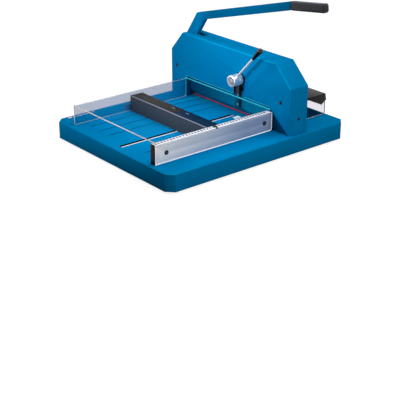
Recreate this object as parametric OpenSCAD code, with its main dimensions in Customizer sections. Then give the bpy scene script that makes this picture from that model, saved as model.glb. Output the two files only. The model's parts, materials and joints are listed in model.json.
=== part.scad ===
// Stack paper cutter: a table with a side guide and a back gauge, a housing that holds the blade
// and the press beam, a long blade lever, a clamp lever and clear guards.
// X runs along the cut, +Y from the operator to the back, +Z up. Millimetres.
// The origin is the centre of the four stand bolts, in the plane of the table's lower edge.

/* [Table] */
// Width of the table past the housing's right side
table_ledge = 13; // [8:1:20]
// Depth of the table behind the housing
rear_table_d = 176; // [172:1:200]
// Height of the table's side
table_t = 58; // [50:1:80]
// Leg of the cut-off corner
table_corner = 24; // [10:1:30]
// Radius of the table's upper edges
table_edge_r = 3; // [2:0.5:6]
// Thickness of the table's plate
table_plate = 5; // [4:0.5:8]
// Thickness of the table's side walls
table_wall = 4; // [3:0.5:6]
// Thickness of the ribs under the plate
rib_t = 4; // [3:0.5:6]
// Depth of the ribs under the plate
rib_h = 24; // [18:1:34]
// Width of the shallow grooves in the plate
groove_w = 2; // [1.5:0.5:3]
// Depth of the shallow grooves
groove_deep = 1; // [0.5:0.1:1.5]
// Clear width of the slot for the back gauge
slot_w = 12; // [10:1:16]
// Width of the bright rail lip beside the slot
rail_lip_w = 4; // [3:0.5:5]
// Side of the square cutting stick
stick_w = 10; // [9:0.5:12]
// Diameter of a rubber foot
foot_d = 40; // [30:1:50]
// Height of a rubber foot below the table
foot_h = 6; // [4:0.5:12]

/* [Stand bolts] */
// Distance of a stand bolt from the table's side
stand_side = 75; // [70:1:85]
// Distance of a stand bolt from the table's front or back
stand_end = 97; // [84:1:110]
// Tapping diameter of a stand bolt
stand_thread_d = 6.8; // [5:0.1:8.5]
// Depth of a stand bolt's hole
stand_thread_deep = 20; // [14:1:30]

/* [Housing] */
// Depth of the table in front of the housing
front_table_d = 500; // [480:1:520]
// Width of the housing beside the side guide
right_side_w = 100; // [96:1:120]
// Depth of the housing, front to back
housing_d = 78; // [78:0.5:84]
// Height of the housing above the top of the blade carrier
housing_over_carrier = 56; // [54:1:66]
// Height of the housing's slanted shoulders
shoulder_drop = 70; // [62:1:78]
// Run of the left slanted shoulder
left_run = 62; // [50:1:66]
// Run of the right slanted shoulder
right_run = 72; // [50:1:90]
// Thickness of the housing's sheet
sheet_t = 2; // [1.5:0.1:2.5]
// Bend radius of the housing's front edges
bend_r = 4; // [3:0.5:5]
// Distance from the housing's left side to its opening
opening_left = 87; // [84:1:90]
// Width left between the opening's slanted end and the housing's right side
slant_margin = 4; // [4:0.5:16]

/* [Cut] */
// Length of the cut, from the guard's wall to the side guide
cut_w = 430; // [400:5:460]
// Clear height under the raised press beam
stack_h = 24; // [20:1:25]
// Drop of the blade over one stroke of the lever
blade_drop = 25; // [22:0.5:25]
// Swing of the blade lever, in degrees
lever_swing = 18; // [15:0.5:18]
// Height of the blade
blade_h = 60; // [50:1:62]
// Thickness of the blade
blade_t = 8; // [6:0.5:8]
// Height of the blade's bevel
bevel_h = 18; // [12:1:20]
// Distance from the housing's front to the blade
blade_setback = 38; // [38:0.1:38.4]
// Thickness of the blade carrier
carrier_t = 10; // [8:0.5:10]
// Radius of a guide roller
guide_roller_r = 11; // [9:0.5:12]

/* [Lever] */
// Distance of the lever's pivot from the housing's left side
pivot_x = 58; // [56:0.5:60]
// Distance of the lever's pivot from the housing's top
pivot_from_top = 50; // [48:0.5:52]
// Radius of the pivot pin
pivot_r = 10; // [8:0.5:11]
// Distance of the inner elbow from the housing's left side
elbow_x = 138.5; // [134:0.5:144]
// Height of the inner elbow above the housing
elbow_rise = 56.5; // [52:0.5:72]
// Slope of the neck, in degrees
neck_slope = 55.5; // [54:0.5:57]
// Width of the neck
neck_w = 41; // [36:1:43]
// Slope of the arm, in degrees
arm_slope = 15; // [15:0.5:18]
// Height of the arm
arm_h = 27; // [22:1:32]
// Length of the arm from the elbow to the grip
arm_len = 442; // [380:1:480]
// Thickness of the lever
lever_t = 19; // [16:0.5:19]
// Length of the grip
grip_len = 150; // [120:1:170]
// Downward bend of the grip, in degrees
grip_bend = 7.5; // [4:0.5:12]

/* [Clamp] */
// Height of the press beam
beam_h = 60; // [52:1:62]
// Thickness of the press beam
beam_t = 25.5; // [24:0.5:25.5]
// Turn of the clamp lever, in degrees
clamp_turn = 90; // [70:1:90]
// Distance of the clamp shaft from the side guide, along the cut
clamp_from_guide = 141; // [120:1:160]
// Height of the clamp shaft above the table
clamp_z = 136; // [134:1:140]
// Module of the rack and pinion
gear_module = 2; // [2:0.1:2.1]
// Radius of the chrome hub
hub_r = 20; // [16:0.5:22]
// Length of the chrome hub
hub_len = 37.5; // [30:0.5:45]
// Radius of the clamp rod
rod_r = 4.5; // [3.5:0.5:5.5]
// Distance from the shaft to the knob
rod_len = 132; // [110:1:140]
// Length of the knob
knob_len = 56; // [45:1:60]
// Slope of the rod with the clamp open, in degrees
rod_slope = 46; // [40:1:55]

/* [Side guide and gauge] */
// Distance of the side guide from the table's front edge
guide_front = 18.6; // [12:0.1:40]
// Height of the side guide
guide_h = 65; // [60:0.5:65]
// Width of the side guide
guide_w = 20; // [18:0.5:22]
// Wall of the side guide
guide_wall = 3.5; // [2.5:0.5:4]
// Height of the back gauge
gauge_h = 56; // [40:1:56]
// Depth of the back gauge
gauge_d = 52; // [40:1:56]
// Distance of the gauge from the front edge, as stored
gauge_place = 252; // [240:1:260]

/* [Guards] */
// Thickness of the clear sheet
clear_t = 4; // [3:0.5:4]
// Height of the front guard above the table
guard_h = 71; // [66:1:76]
// Height of the housing's opening above the front guard
opening_over_guard = 5; // [5:0.5:6]
// Distance from the table's front edge to the front guard
guard_inset = 24; // [15:1:40]
// Height of the rear guard
rear_guard_h = 74; // [70:0.5:75]

/* [Hidden] */
$fn = 48;

// Overrun of every cut past the face that it starts from
over = 1;
// Gap between pieces that slide past each other
run_gap = 0.3;
// Radial gap between a shaft and its hole
shaft_gap = 0.05;
// Radial gap of a fixed pin, screw or bush in its hole
fixed_gap = 0.02;

// Gaps and steps that stack up to the housing's height
opening_h = guard_h + opening_over_guard;
edge_below_table = 0.3;
plate_over_blade = 7.3;
roller_over_plate_edge = 26;
carrier_over_rollers = 54;

// Overall sizes, summed from the widths and depths that lie side by side
housing_w = opening_left + cut_w + right_side_w;
table_w = housing_w + table_ledge;
table_d = front_table_d + housing_d + rear_table_d;
stand_x = table_w - 2 * stand_side;
stand_y = table_d - 2 * stand_end;
guide_len = front_table_d - 8 * run_gap - guide_front;
blade_rest = blade_drop - edge_below_table;
front_plate_low = blade_rest + blade_h + plate_over_blade;
roller_high = front_plate_low + roller_over_plate_edge;
carrier_high = roller_high + carrier_over_rollers;
housing_h = carrier_high + housing_over_carrier;
shoulder_h = housing_h - shoulder_drop;
pivot_z = housing_h - pivot_from_top;
elbow_z = housing_h + elbow_rise;
slant_w = right_side_w - 3 * sheet_t / 2 - slant_margin;
cut_end = opening_left + cut_w;

// Places measured from the table's front left corner and from its top
table_left = -table_w / 2;
table_front = -table_d / 2;
table_top = table_t;
housing_front = table_front + front_table_d;
housing_back = housing_front + housing_d;
housing_right = table_left + housing_w;
opening_right = cut_end + 3 * sheet_t / 2;

// Layers of the mechanism, front to back
beam_setback = 11;
beam_y = housing_front + beam_setback;
rack_y = beam_y - 3 * sheet_t / 4;
rack_t = 12;
blade_y = housing_front + blade_setback;
carrier_y = blade_y + blade_t;
front_plate_t = 9.7;
front_plate_y = carrier_y - run_gap - front_plate_t;
pivot_plate_t = 7.5;
pivot_plate_y = front_plate_y - pivot_plate_t;
lever_side_gap = 0.5;
lever_y = front_plate_y + lever_side_gap;
crank_t = 8;
rear_plate_t = 8;
rear_plate_y = carrier_y + carrier_t + run_gap;

// Blade and carrier, at the top of the stroke
blade_edge_z = table_top + blade_rest;
blade_past_left = 5;
blade_leg_gap = 7.7;
blade_left = opening_left - blade_past_left;
carrier_over_edge = 21.3;
carrier_inset = 21;
carrier_bottom_z = blade_edge_z + carrier_over_edge;
carrier_top_z = table_top + carrier_high;
carrier_right = housing_w - carrier_inset;
crank_r = blade_drop / (2 * sin(lever_swing / 2));
crank_pin_x = pivot_x + crank_r * sin(lever_swing / 2);
crank_pin_z = table_top + pivot_z - crank_r * cos(lever_swing / 2);
drive_roller_r = 9;
drive_pin_r = 6;
fork_wall = 10;
lever_hub_r = 22;
bush_r = 14;
roller_from_left = 40;
roller_from_right = 96;
guide_roller_z = table_top + roller_high;

// Press and clamp
pinion_teeth = 14;
pitch_r = gear_module * pinion_teeth / 2;
press_travel = pitch_r * clamp_turn * PI / 180;
beam_bottom_z = table_top + stack_h;
beam_end_gap = 1.5;
shaft_r = 7;
guide_rod_r = 6;
rod_from_left = 25;
rod_from_right = 27;
rod_setback = 10;
guide_rod_x = [opening_left + rod_from_left, cut_end - rod_from_right];
guide_rod_y = beam_y + rod_setback;
clamp_x = cut_end - clamp_from_guide;
slot_before_shaft = 34.5;
slot_past_shaft = 16.5;
clamp_slot = [clamp_x - slot_before_shaft, clamp_x + slot_past_shaft];

// Frame
frame_inset = 6;
frame_top_inset = 16;
front_plate_bottom_z = table_top + front_plate_low;
leg_w = 38;
leg_left = housing_w - sheet_t - run_gap - leg_w + frame_inset;
blade_len = leg_left - blade_leg_gap - blade_left;
pivot_plate_right = 205;
front_plate_left = 150;
spacer_r = 8;
frame_bolt_r = 4;
left_spacer_inset = 14;
left_spacer_high = 60;
right_spacer_inset = 11;
right_spacer_high = 36;
spacer_from_left = 65;
spacer_from_right = 142;
spacer_from_top = 36;
spacer_left = front_plate_left + spacer_from_left;
spacer_right = housing_w - spacer_from_right;
spacer_places = [[left_spacer_inset, left_spacer_high], [housing_w - right_spacer_inset, right_spacer_high],
    for (x = [spacer_left, (spacer_left + spacer_right) / 2, spacer_right]) [x, housing_h - spacer_from_top]];
guide_roller_x = [front_plate_left + roller_from_left, carrier_right - roller_from_right];

// Guide, gauge and guard
guide_x = table_left + cut_end;
guide_y = housing_front - run_gap * 8 - guide_len;
guard_left = opening_left - clear_t - 2 * run_gap;
guard_top_z = table_top + guard_h;
guard_back_gap = 1.5;
guard_right = cut_end + guide_w / 2;
guard_axis_back = 6;
axis_over_opening = 4;
guard_axis_y = housing_front + guard_axis_back;
guard_axis_z = table_top + opening_h + axis_over_opening;
gauge_gap = 1.5;
slot_from_guide = 183;
slot_front_inset = 28;
slot_back_inset = 5;
slot_x = table_left + cut_end - slot_from_guide;
slot_front = table_front + slot_front_inset;
slot_back = housing_front - slot_back_inset;
rear_axis_back = 7;
rear_axis_high = 82;
rear_axis_y = housing_back + rear_axis_back;
rear_axis_z = table_top + rear_axis_high;
rear_guard_past = 18;
rear_guard_right = cut_end + rear_guard_past;

// Screws
screw_r = 3;
screw_head_r = 5;
screw_head_h = 3;

paint = [0.0, 0.42, 0.66];
dark_paint = [0.02, 0.2, 0.33];
steel = [0.62, 0.63, 0.65];
black = [0.08, 0.08, 0.09];
clear = [0.8, 0.85, 0.9, 0.4];

// Place measured along the cut from the table's left edge
function from_left(a) = table_left + a;
// Place measured above the table's plate
function above(a) = table_top + a;

// A flat piece drawn as [x, z] points, from y to y + t
module plate_xz(y, t, points) {
    translate([0, y + t, 0])
        rotate([90, 0, 0])
            linear_extrude(t)
                polygon(points);
}

// A flat piece drawn as [y, z] points, from x to x + t
module plate_yz(x, t, points) {
    translate([x, 0, 0])
        rotate([90, 0, 90])
            linear_extrude(t)
                polygon(points);
}

module y_cylinder(x, y, z, r, h) {
    translate([x, y, z])
        rotate([-90, 0, 0])
            cylinder(r = r, h = h);
}

module x_cylinder(x, y, z, r, h) {
    translate([x, y, z])
        rotate([0, 90, 0])
            cylinder(r = r, h = h);
}

module z_cylinder(x, y, z, r, h) {
    translate([x, y, z])
        cylinder(r = r, h = h);
}

module block(x0, x1, y0, y1, z0, z1) {
    translate([x0, y0, z0])
        cube([x1 - x0, y1 - y0, z1 - z0]);
}

// A cutter that rounds one upper edge of a prism in flat steps, from p to q with the solid on
// the left
round_steps = 3;
module edge_round(p, q, r) {
    d = q - p;
    arc = [for (i = [0:round_steps]) let (a = 90 * i / round_steps) [r - r * cos(a), r * sin(a) - r]];
    translate([p[0], p[1], 0])
        rotate([0, 0, atan2(d[1], d[0])])
            plate_yz(-2 * r, norm(d) + 4 * r, concat([[-over, over], [-over, -r]], arc, [[r, over]]));
}

// Corner points of the table, moved inwards by d
function table_points(d) =
    let (w = table_w / 2 - d, h = table_d / 2 - d, c = table_corner - d * (2 - sqrt(2)))
    [[-w + c, -h], [w - c, -h], [w, -h + c], [w, h - c],
     [w - c, h], [-w + c, h], [-w, h - c], [-w, -h + c]];

// Front view of the housing, moved inwards by d, from its foot up
function housing_points(d) =
    let (tl = atan(left_run / (housing_h - shoulder_h)), tr = atan(right_run / (housing_h - shoulder_h)))
    [[from_left(d), above(0)],
     [from_left(d), above(shoulder_h - d * tan(tl / 2))],
     [from_left(left_run + d * tan((90 - tl) / 2)), above(housing_h - d)],
     [from_left(housing_w - right_run - d * tan((90 - tr) / 2)), above(housing_h - d)],
     [from_left(housing_w - d), above(shoulder_h - d * tan(tr / 2))],
     [from_left(housing_w - d), above(0)]];

module table_prism(d, z0, z1) {
    translate([0, 0, z0])
        linear_extrude(z1 - z0)
            polygon(table_points(d));
}

// Places of the grooves as shares of the cut's length
groove_shares = [0.1, 0.223, 0.344, 0.802, 0.926];
groove_start = 58;
stick_ahead = 2;
stick_y = blade_y - stick_ahead;
stick_drop = 0.6;
stick_gap = 0.2;
stick_over = 4;
stick_left = from_left(blade_left - blade_drop - stick_over);
stick_len = blade_len + 2 * stick_over;
boss_r = 14;
foot_inset = 40;
rib_from_slot = 30;
rear_rib_inset = 100;

module table_base() {
    color(paint)
    difference() {
        union() {
            difference() {
                table_prism(0, 0, table_top);
                table_prism(table_wall, -over, table_top - table_plate);
                p = table_points(0);
                for (i = [0:7])
                    translate([0, 0, table_top])
                        edge_round(p[i], p[(i + 1) % 8], table_edge_r);
            }
            table_ribs();
            for (sx = [-1, 1], sy = [-1, 1]) {
                z_cylinder(sx * stand_x / 2, sy * stand_y / 2, 0, boss_r, table_top - table_plate);
                z_cylinder(sx * (table_w / 2 - foot_inset), sy * (table_d / 2 - foot_inset), 0,
                    boss_r, table_top - table_plate);
            }
        }
        for (sx = [-1, 1], sy = [-1, 1]) {
            z_cylinder(sx * stand_x / 2, sy * stand_y / 2, -over,
                stand_thread_d / 2, stand_thread_deep + over);
            z_cylinder(sx * (table_w / 2 - foot_inset), sy * (table_d / 2 - foot_inset), -over,
                screw_r + fixed_gap, stand_thread_deep + over);
        }
        block(slot_x, slot_x + slot_w + rail_lip_w, slot_front, slot_back,
            table_top - table_plate - over, table_top + over);
        for (g = groove_shares)
            block(from_left(opening_left + g * cut_w) - groove_w / 2,
                from_left(opening_left + g * cut_w) + groove_w / 2,
                table_front + groove_start, stick_y - stick_gap - groove_w,
                table_top - groove_deep, table_top + over);
        block(stick_left - stick_gap, stick_left + stick_len + stick_gap, stick_y - stick_gap,
            stick_y + stick_w + stick_gap, table_top - stick_w - stick_drop, table_top + over);
    }
}

// Two ribs beside the gauge slot, the channel round the cutting stick and a rib behind it
module table_ribs() {
    low = table_top - table_plate - rib_h;
    high = table_top - table_plate + over / 2;
    side = table_w / 2 - table_wall + over / 2;
    for (x = [slot_x - rib_from_slot - rib_t, slot_x + slot_w + rib_from_slot])
        block(x, x + rib_t, table_front + table_wall - over / 2, stick_y, low, high);
    block(-side, side, stick_y - rib_t, stick_y + stick_w + rib_t, low, high);
    block(-side, side, -table_front - rear_rib_inset - rib_t, -table_front - rear_rib_inset, low, high);
}

rail_flange = 18;
rail_t = 2;

module gauge_rail() {
    x = slot_x + slot_w;
    color([0.82, 0.83, 0.85]) {
        block(x, x + rail_lip_w - fixed_gap, slot_front + fixed_gap, slot_back - fixed_gap,
            table_top - table_plate - rail_t, table_top);
        block(x, x + rail_flange, slot_front, slot_back,
            table_top - table_plate - rail_t, table_top - table_plate);
    }
}

stick_bevel = 0.8;

module cutting_stick() {
    top = table_top - stick_drop;
    bottom = top - stick_w;
    color([0.75, 0.05, 0.12])
    plate_yz(stick_left, stick_len,
        [[stick_y + stick_bevel, bottom], [stick_y + stick_w - stick_bevel, bottom],
         [stick_y + stick_w, bottom + stick_bevel], [stick_y + stick_w, top - stick_bevel],
         [stick_y + stick_w - stick_bevel, top], [stick_y + stick_bevel, top],
         [stick_y, top - stick_bevel], [stick_y, bottom + stick_bevel]]);
}

foot_taper = 3;

module rubber_feet() {
    color(black)
    for (sx = [-1, 1], sy = [-1, 1])
        translate([sx * (table_w / 2 - foot_inset), sy * (table_d / 2 - foot_inset), -foot_h])
            rotate_extrude()
                polygon([[screw_head_r + over, 0], [foot_d / 2 - foot_taper, 0], [foot_d / 2, foot_h],
                    [screw_r + fixed_gap, foot_h], [screw_r + fixed_gap, screw_head_h + over / 2],
                    [screw_head_r + over, screw_head_h + over / 2]]);
}

module foot_screws() {
    color(steel)
    for (sx = [-1, 1], sy = [-1, 1])
        translate([sx * (table_w / 2 - foot_inset), sy * (table_d / 2 - foot_inset), 0]) {
            z_cylinder(0, 0, -foot_h + over / 2, screw_head_r, screw_head_h);
            z_cylinder(0, 0, -foot_h + over, screw_r, stand_thread_deep);
        }
}

guide_far_r = 8;
guide_screw_front = 43;
guide_screw_back = 33;
guide_screw_y = [guide_screw_front, guide_len - guide_screw_back];
guide_screw_z = 32;
guide_top_screw_past = 4.5;
guide_top_screw_y = guide_len / 2 + guide_top_screw_past;
guide_screw_r = 4;

module side_guide() {
    y1 = guide_y + guide_len;
    color([0.8, 0.81, 0.84])
    difference() {
        union() {
            block(guide_x, guide_x + guide_w, guide_y, y1 - guide_far_r, above(0), above(guide_h));
            block(guide_x, guide_x + guide_w, y1 - 2 * guide_far_r, y1,
                above(guide_far_r), above(guide_h - guide_far_r));
            x_cylinder(guide_x, y1 - guide_far_r, above(guide_h - guide_far_r), guide_far_r, guide_w);
            x_cylinder(guide_x, y1 - guide_far_r, above(guide_far_r), guide_far_r, guide_w);
        }
        block(guide_x + guide_wall, guide_x + guide_w - guide_wall, guide_y - over,
            y1 - guide_far_r, above(0) - over, above(guide_h - 2 * guide_wall));
        for (y = guide_screw_y)
            x_cylinder(guide_x + guide_w - guide_wall - over, guide_y + y, above(guide_screw_z),
                guide_screw_r + fixed_gap, guide_wall + 2 * over);
        z_cylinder(guide_x + guide_w / 2, guide_y + guide_top_screw_y,
            above(guide_h - 2 * guide_wall) - over, guide_screw_r + fixed_gap, 2 * guide_wall + 2 * over);
    }
}

bar_gap = 0.3;
bar_h = 50;

module side_guide_bar() {
    x0 = guide_x + guide_wall + bar_gap;
    x1 = guide_x + guide_w - guide_wall - bar_gap;
    color(steel)
    difference() {
        block(x0, x1, guide_y + guide_w, guide_y + guide_len - guide_w, above(0), above(bar_h));
        for (y = guide_screw_y)
            x_cylinder(x1 - guide_screw_reach, guide_y + y, above(guide_screw_z),
                guide_screw_r + fixed_gap, guide_screw_reach + over);
        z_cylinder(guide_x + guide_w / 2, guide_y + guide_top_screw_y, above(bar_h / 2),
            guide_screw_r + fixed_gap, bar_h / 2 + over);
    }
}

guide_screw_reach = 8;
guide_head_r = 7.5;
guide_head_h = 2;
guide_top_head_h = 1.6;

module side_guide_screws() {
    x1 = guide_x + guide_w;
    color(black) {
        for (y = guide_screw_y) {
            x_cylinder(x1 - guide_wall - guide_screw_reach + over, guide_y + y, above(guide_screw_z),
                guide_screw_r, guide_wall + guide_screw_reach);
            translate([x1, guide_y + y, above(guide_screw_z)])
                rotate([0, 90, 0])
                    screw_dome(guide_head_r, guide_head_h, guide_screw_r / 2);
        }
        translate([guide_x + guide_w / 2, guide_y + guide_top_screw_y, above(guide_h)])
            screw_dome(guide_head_r, guide_top_head_h, guide_screw_r / 2);
        z_cylinder(guide_x + guide_w / 2, guide_y + guide_top_screw_y, above(bar_h) - guide_screw_reach,
            guide_screw_r, guide_h - bar_h + guide_screw_reach + over / 2);
    }
}

// A low head with a hexagon socket, standing on z = 0
module screw_dome(r, h, socket_r) {
    difference() {
        rotate_extrude()
            polygon([[0, 0], [r, 0], [r, h / 3], [r - h / 2, h], [0, h]]);
        translate([0, 0, h / 3])
            cylinder(r = socket_r, h = h, $fn = 6);
    }
}

cap_t = 2.5;
cap_plug = 8;

module side_guide_cap() {
    color(black) {
        block(guide_x, guide_x + guide_w, guide_y - cap_t, guide_y, above(0), above(guide_h));
        block(guide_x + guide_wall + bar_gap, guide_x + guide_w - guide_wall - bar_gap,
            guide_y - over / 2, guide_y + cap_plug, above(bar_gap),
                above(guide_h - 2 * guide_wall - bar_gap));
    }
}

strip_x = 12;
strip_w = 7;
strip_y = 43;
strip_len = 105;
strip_t = 0.8;
strip_screw_y = 17;

module scale_strip() {
    color([0.85, 0.8, 0.78])
    difference() {
        block(from_left(strip_x), from_left(strip_x + strip_w), table_front + strip_y,
            table_front + strip_y + strip_len, above(0), above(strip_t));
        z_cylinder(from_left(strip_x + strip_w / 2), table_front + strip_y + strip_screw_y,
            above(0) - over, screw_r / 2 + fixed_gap, strip_t + 2 * over);
    }
}

module scale_strip_screw() {
    color(black)
    translate([from_left(strip_x + strip_w / 2), table_front + strip_y + strip_screw_y, above(strip_t)]) {
        screw_dome(screw_r, screw_r / 2, screw_r / 3);
        z_cylinder(0, 0, -strip_t, screw_r / 2, strip_t + screw_r / 6);
    }
}

stop_w = 16;
stop_d = 22;
stop_h = 20;
stop_bevel = 3;

module guard_stop() {
    x1 = from_left(guard_left) - 2 * run_gap;
    y = table_front + gauge_place - stop_d / 2;
    color([0.2, 0.12, 0.1])
    plate_xz(y, stop_d, [[x1 - stop_w, above(0)], [x1, above(0)], [x1, above(stop_h - stop_bevel)],
        [x1 - stop_bevel, above(stop_h)], [x1 - stop_w + stop_bevel, above(stop_h)],
        [x1 - stop_w, above(stop_h - stop_bevel)]]);
}

lever_slot_left = 30;
lever_slot_right = 142;
lever_slot_side = 3;
cover_screw_left = 30.7;
cover_screw_right = 44;
cover_screw_low = 43.5;
cover_screw_high = 103.5;
cover_screw_front = [[cover_screw_left, cover_screw_low], [cover_screw_left, cover_screw_high],
    [housing_w - cover_screw_right, cover_screw_high]];
cover_side_screw_z = 51;
cover_screw_r = 2.5;

// The housing's outer form, with its front edges rounded in flat steps
module housing_block(y0, y1) {
    insets = [for (i = [0:round_steps]) let (a = 90 * i / round_steps) bend_r * [1 - sin(a), 1 - cos(a)]];
    rings = concat(insets, [[0, y1 - y0]]);
    n = 6;
    last = n * (len(rings) - 1);
    polyhedron(points = [for (r = rings, p = housing_points(r[0])) [p[0], y0 + r[1], p[1]]],
        faces = concat([[for (i = [0:n - 1]) i]], [[for (i = [n - 1:-1:0]) last + i]],
            [for (k = [0:n:last - n], i = [0:n - 1])
                [k + i, k + n + i, k + n + (i + 1) % n, k + (i + 1) % n]]));
}

module front_cover() {
    y0 = housing_front;
    color(paint)
    difference() {
        housing_block(y0, housing_back - sheet_t);
        plate_xz(y0 + sheet_t, housing_d, concat([[from_left(sheet_t), above(0) - over]],
            [for (i = [1:4]) housing_points(sheet_t)[i]],
            [[from_left(housing_w - sheet_t), above(0) - over]]));
        plate_xz(y0 - over, sheet_t + 2 * over, opening_points());
        plate_xz(y0 - over, sheet_t + 2 * over,
            [[from_left(clamp_slot[0]), above(opening_h) - over],
             [from_left(clamp_slot[1]), above(opening_h) - over],
             [from_left(clamp_slot[1]), above(clamp_z)], [from_left(clamp_slot[0]), above(clamp_z)]]);
        y_cylinder(from_left(clamp_x), y0 - over, above(clamp_z), shaft_r + 2 * sheet_t, sheet_t + 2 * over);
        block(from_left(lever_slot_left), from_left(lever_slot_right), lever_y - lever_slot_side,
            lever_y + lever_t + lever_slot_side, above(shoulder_h), above(housing_h) + over);
        for (s = cover_screw_front)
            y_cylinder(from_left(s[0]), y0 - over, above(s[1]), cover_screw_r + fixed_gap,
                sheet_t + 2 * over);
        x_cylinder(from_left(housing_w - sheet_t) - over, front_plate_y + front_plate_t / 2,
            above(cover_side_screw_z), cover_screw_r + fixed_gap, sheet_t + 2 * over);
        x_cylinder(from_left(0) - over, pivot_plate_y + pivot_plate_t / 2,
            above(cover_side_screw_z), cover_screw_r + fixed_gap, sheet_t + 2 * over);
    }
}

function opening_points() =
    [[from_left(opening_left), above(0) - over], [from_left(opening_left), above(opening_h)],
     [from_left(opening_right), above(opening_h)], [from_left(opening_right + slant_w), above(0)],
     [from_left(opening_right + slant_w), above(0) - over]];

rear_screw_side = 30;
rear_screw_low = 40;
rear_screw_high = 120;
rear_screw_from_top = 22;
rear_screw_from_left = 190;
rear_screw_from_right = 187;
rear_screws = [
    for (x = [rear_screw_side, housing_w - rear_screw_side], z = [rear_screw_low, rear_screw_high]) [x, z],
    for (x = [rear_screw_from_left, housing_w - rear_screw_from_right]) [x, housing_h - rear_screw_from_top]];

module rear_cover() {
    y0 = housing_back - sheet_t;
    color(paint)
    difference() {
        plate_xz(y0, sheet_t, housing_points(0));
        block(from_left(opening_left), from_left(opening_right), y0 - over, y0 + sheet_t + over,
            above(0) - over, above(opening_h));
        for (s = rear_screws)
            y_cylinder(from_left(s[0]), y0 - over, above(s[1]), cover_screw_r + fixed_gap,
                sheet_t + 2 * over);
    }
}

cover_head_r = 5;
cover_head_h = 1.8;
cover_screw_reach = 12;

// A cover screw whose head stands on the origin and whose shank points along -Z
module cover_screw(reach) {
    screw_dome(cover_head_r, cover_head_h, cover_screw_r / 2);
    z_cylinder(0, 0, -reach, cover_screw_r, reach + cover_head_h / 6);
}

module cover_screws() {
    color([0.25, 0.2, 0.17]) {
        for (s = cover_screw_front)
            translate([from_left(s[0]), housing_front, above(s[1])])
                rotate([90, 0, 0])
                    cover_screw(cover_screw_reach);
        for (s = rear_screws)
            translate([from_left(s[0]), housing_back, above(s[1])])
                rotate([-90, 0, 0])
                    cover_screw(cover_screw_reach - sheet_t);
        translate([housing_right, front_plate_y + front_plate_t / 2, above(cover_side_screw_z)])
            rotate([0, 90, 0])
                cover_screw(cover_screw_reach);
        translate([table_left, pivot_plate_y + pivot_plate_t / 2, above(cover_side_screw_z)])
            rotate([0, -90, 0])
                cover_screw(cover_screw_reach);
    }
}

standoff_r = 5;

module standoff(x, y0, y1, z) {
    difference() {
        y_cylinder(from_left(x), y0, above(z), standoff_r, y1 - y0);
        y_cylinder(from_left(x), y0 - over, above(z), cover_screw_r + fixed_gap, y1 - y0 + 2 * over);
    }
}

module cover_standoffs() {
    color(steel) {
        for (i = [0:1])
            standoff(cover_screw_front[i][0], housing_front + sheet_t, pivot_plate_y,
                cover_screw_front[i][1]);
        standoff(cover_screw_front[2][0], housing_front + sheet_t, front_plate_y, cover_screw_front[2][1]);
        for (s = rear_screws)
            standoff(s[0], rear_plate_y + rear_plate_t, housing_back - sheet_t, s[1]);
    }
}

cheek_t = 2;
cheek_deep = 20;
cheek_gap = 0.5;
cheek_tab = 14;

module inner_cheeks() {
    y0 = housing_front + sheet_t + cheek_gap;
    left = from_left(opening_left - cheek_gap);
    right = from_left(opening_right - cheek_gap);
    color(dark_paint) {
        block(left - cheek_t, left, y0, y0 + cheek_deep, above(0), above(opening_h + cheek_gap));
        block(left - cheek_tab, left, y0, y0 + cheek_t, above(0), above(opening_h + cheek_gap));
        block(right, right + cheek_t, y0, y0 + cheek_deep, above(0), above(opening_h + cheek_gap));
        plate_xz(y0, cheek_t, [[right, above(0)], [right, above(opening_h + cheek_gap)],
            [right + cheek_tab, above(opening_h + cheek_gap)],
            [from_left(housing_w - sheet_t - cheek_gap), above(cheek_tab)],
            [from_left(housing_w - sheet_t - cheek_gap), above(0)]]);
    }
}

rear_leg = 58;

module rear_frame_plate() {
    y0 = rear_plate_y;
    color(steel)
    difference() {
        intersection() {
            plate_xz(y0, rear_plate_t, housing_points(frame_inset));
            block(from_left(0), from_left(housing_w), y0, y0 + rear_plate_t,
                above(0), above(housing_h - frame_top_inset));
        }
        block(from_left(rear_leg), from_left(housing_w - rear_leg), y0 - over, y0 + rear_plate_t + over,
            above(0) - over, front_plate_bottom_z);
        y_cylinder(from_left(pivot_x), y0 - over, above(pivot_z), pivot_r + fixed_gap,
            rear_plate_t + 2 * over);
        for (s = spacer_places)
            y_cylinder(from_left(s[0]), y0 - over, above(s[1]), frame_bolt_r + fixed_gap,
                rear_plate_t + 2 * over);
        for (x = guide_roller_x)
            y_cylinder(from_left(x), y0 - over, guide_roller_z, frame_bolt_r + fixed_gap,
                rear_plate_t + 2 * over);
        for (s = rear_screws)
            y_cylinder(from_left(s[0]), y0 + over, above(s[1]), cover_screw_r + fixed_gap, rear_plate_t);
    }
}

module front_frame_plate() {
    y0 = front_plate_y;
    right = from_left(housing_w - sheet_t - run_gap);
    color(steel)
    difference() {
        union() {
            intersection() {
                plate_xz(y0, front_plate_t, housing_points(frame_inset));
                block(from_left(front_plate_left), from_left(housing_w), y0, y0 + front_plate_t,
                    front_plate_bottom_z, above(housing_h - frame_top_inset));
            }
            block(from_left(leg_left), right, y0, y0 + front_plate_t, above(0), front_plate_bottom_z + over);
        }
        for (i = [1:4])
            y_cylinder(from_left(spacer_places[i][0]), y0 - over, above(spacer_places[i][1]),
                frame_bolt_r + fixed_gap, front_plate_t + 2 * over);
        for (x = guide_roller_x)
            y_cylinder(from_left(x), y0 - over, guide_roller_z, frame_bolt_r + fixed_gap,
                front_plate_t + 2 * over);
        y_cylinder(from_left(clamp_x), y0 - over, above(clamp_z), shaft_r + over, front_plate_t + 2 * over);
        x_cylinder(right - cover_screw_reach, y0 + front_plate_t / 2, above(cover_side_screw_z),
            cover_screw_r + fixed_gap, cover_screw_reach + over);
    }
}

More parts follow.
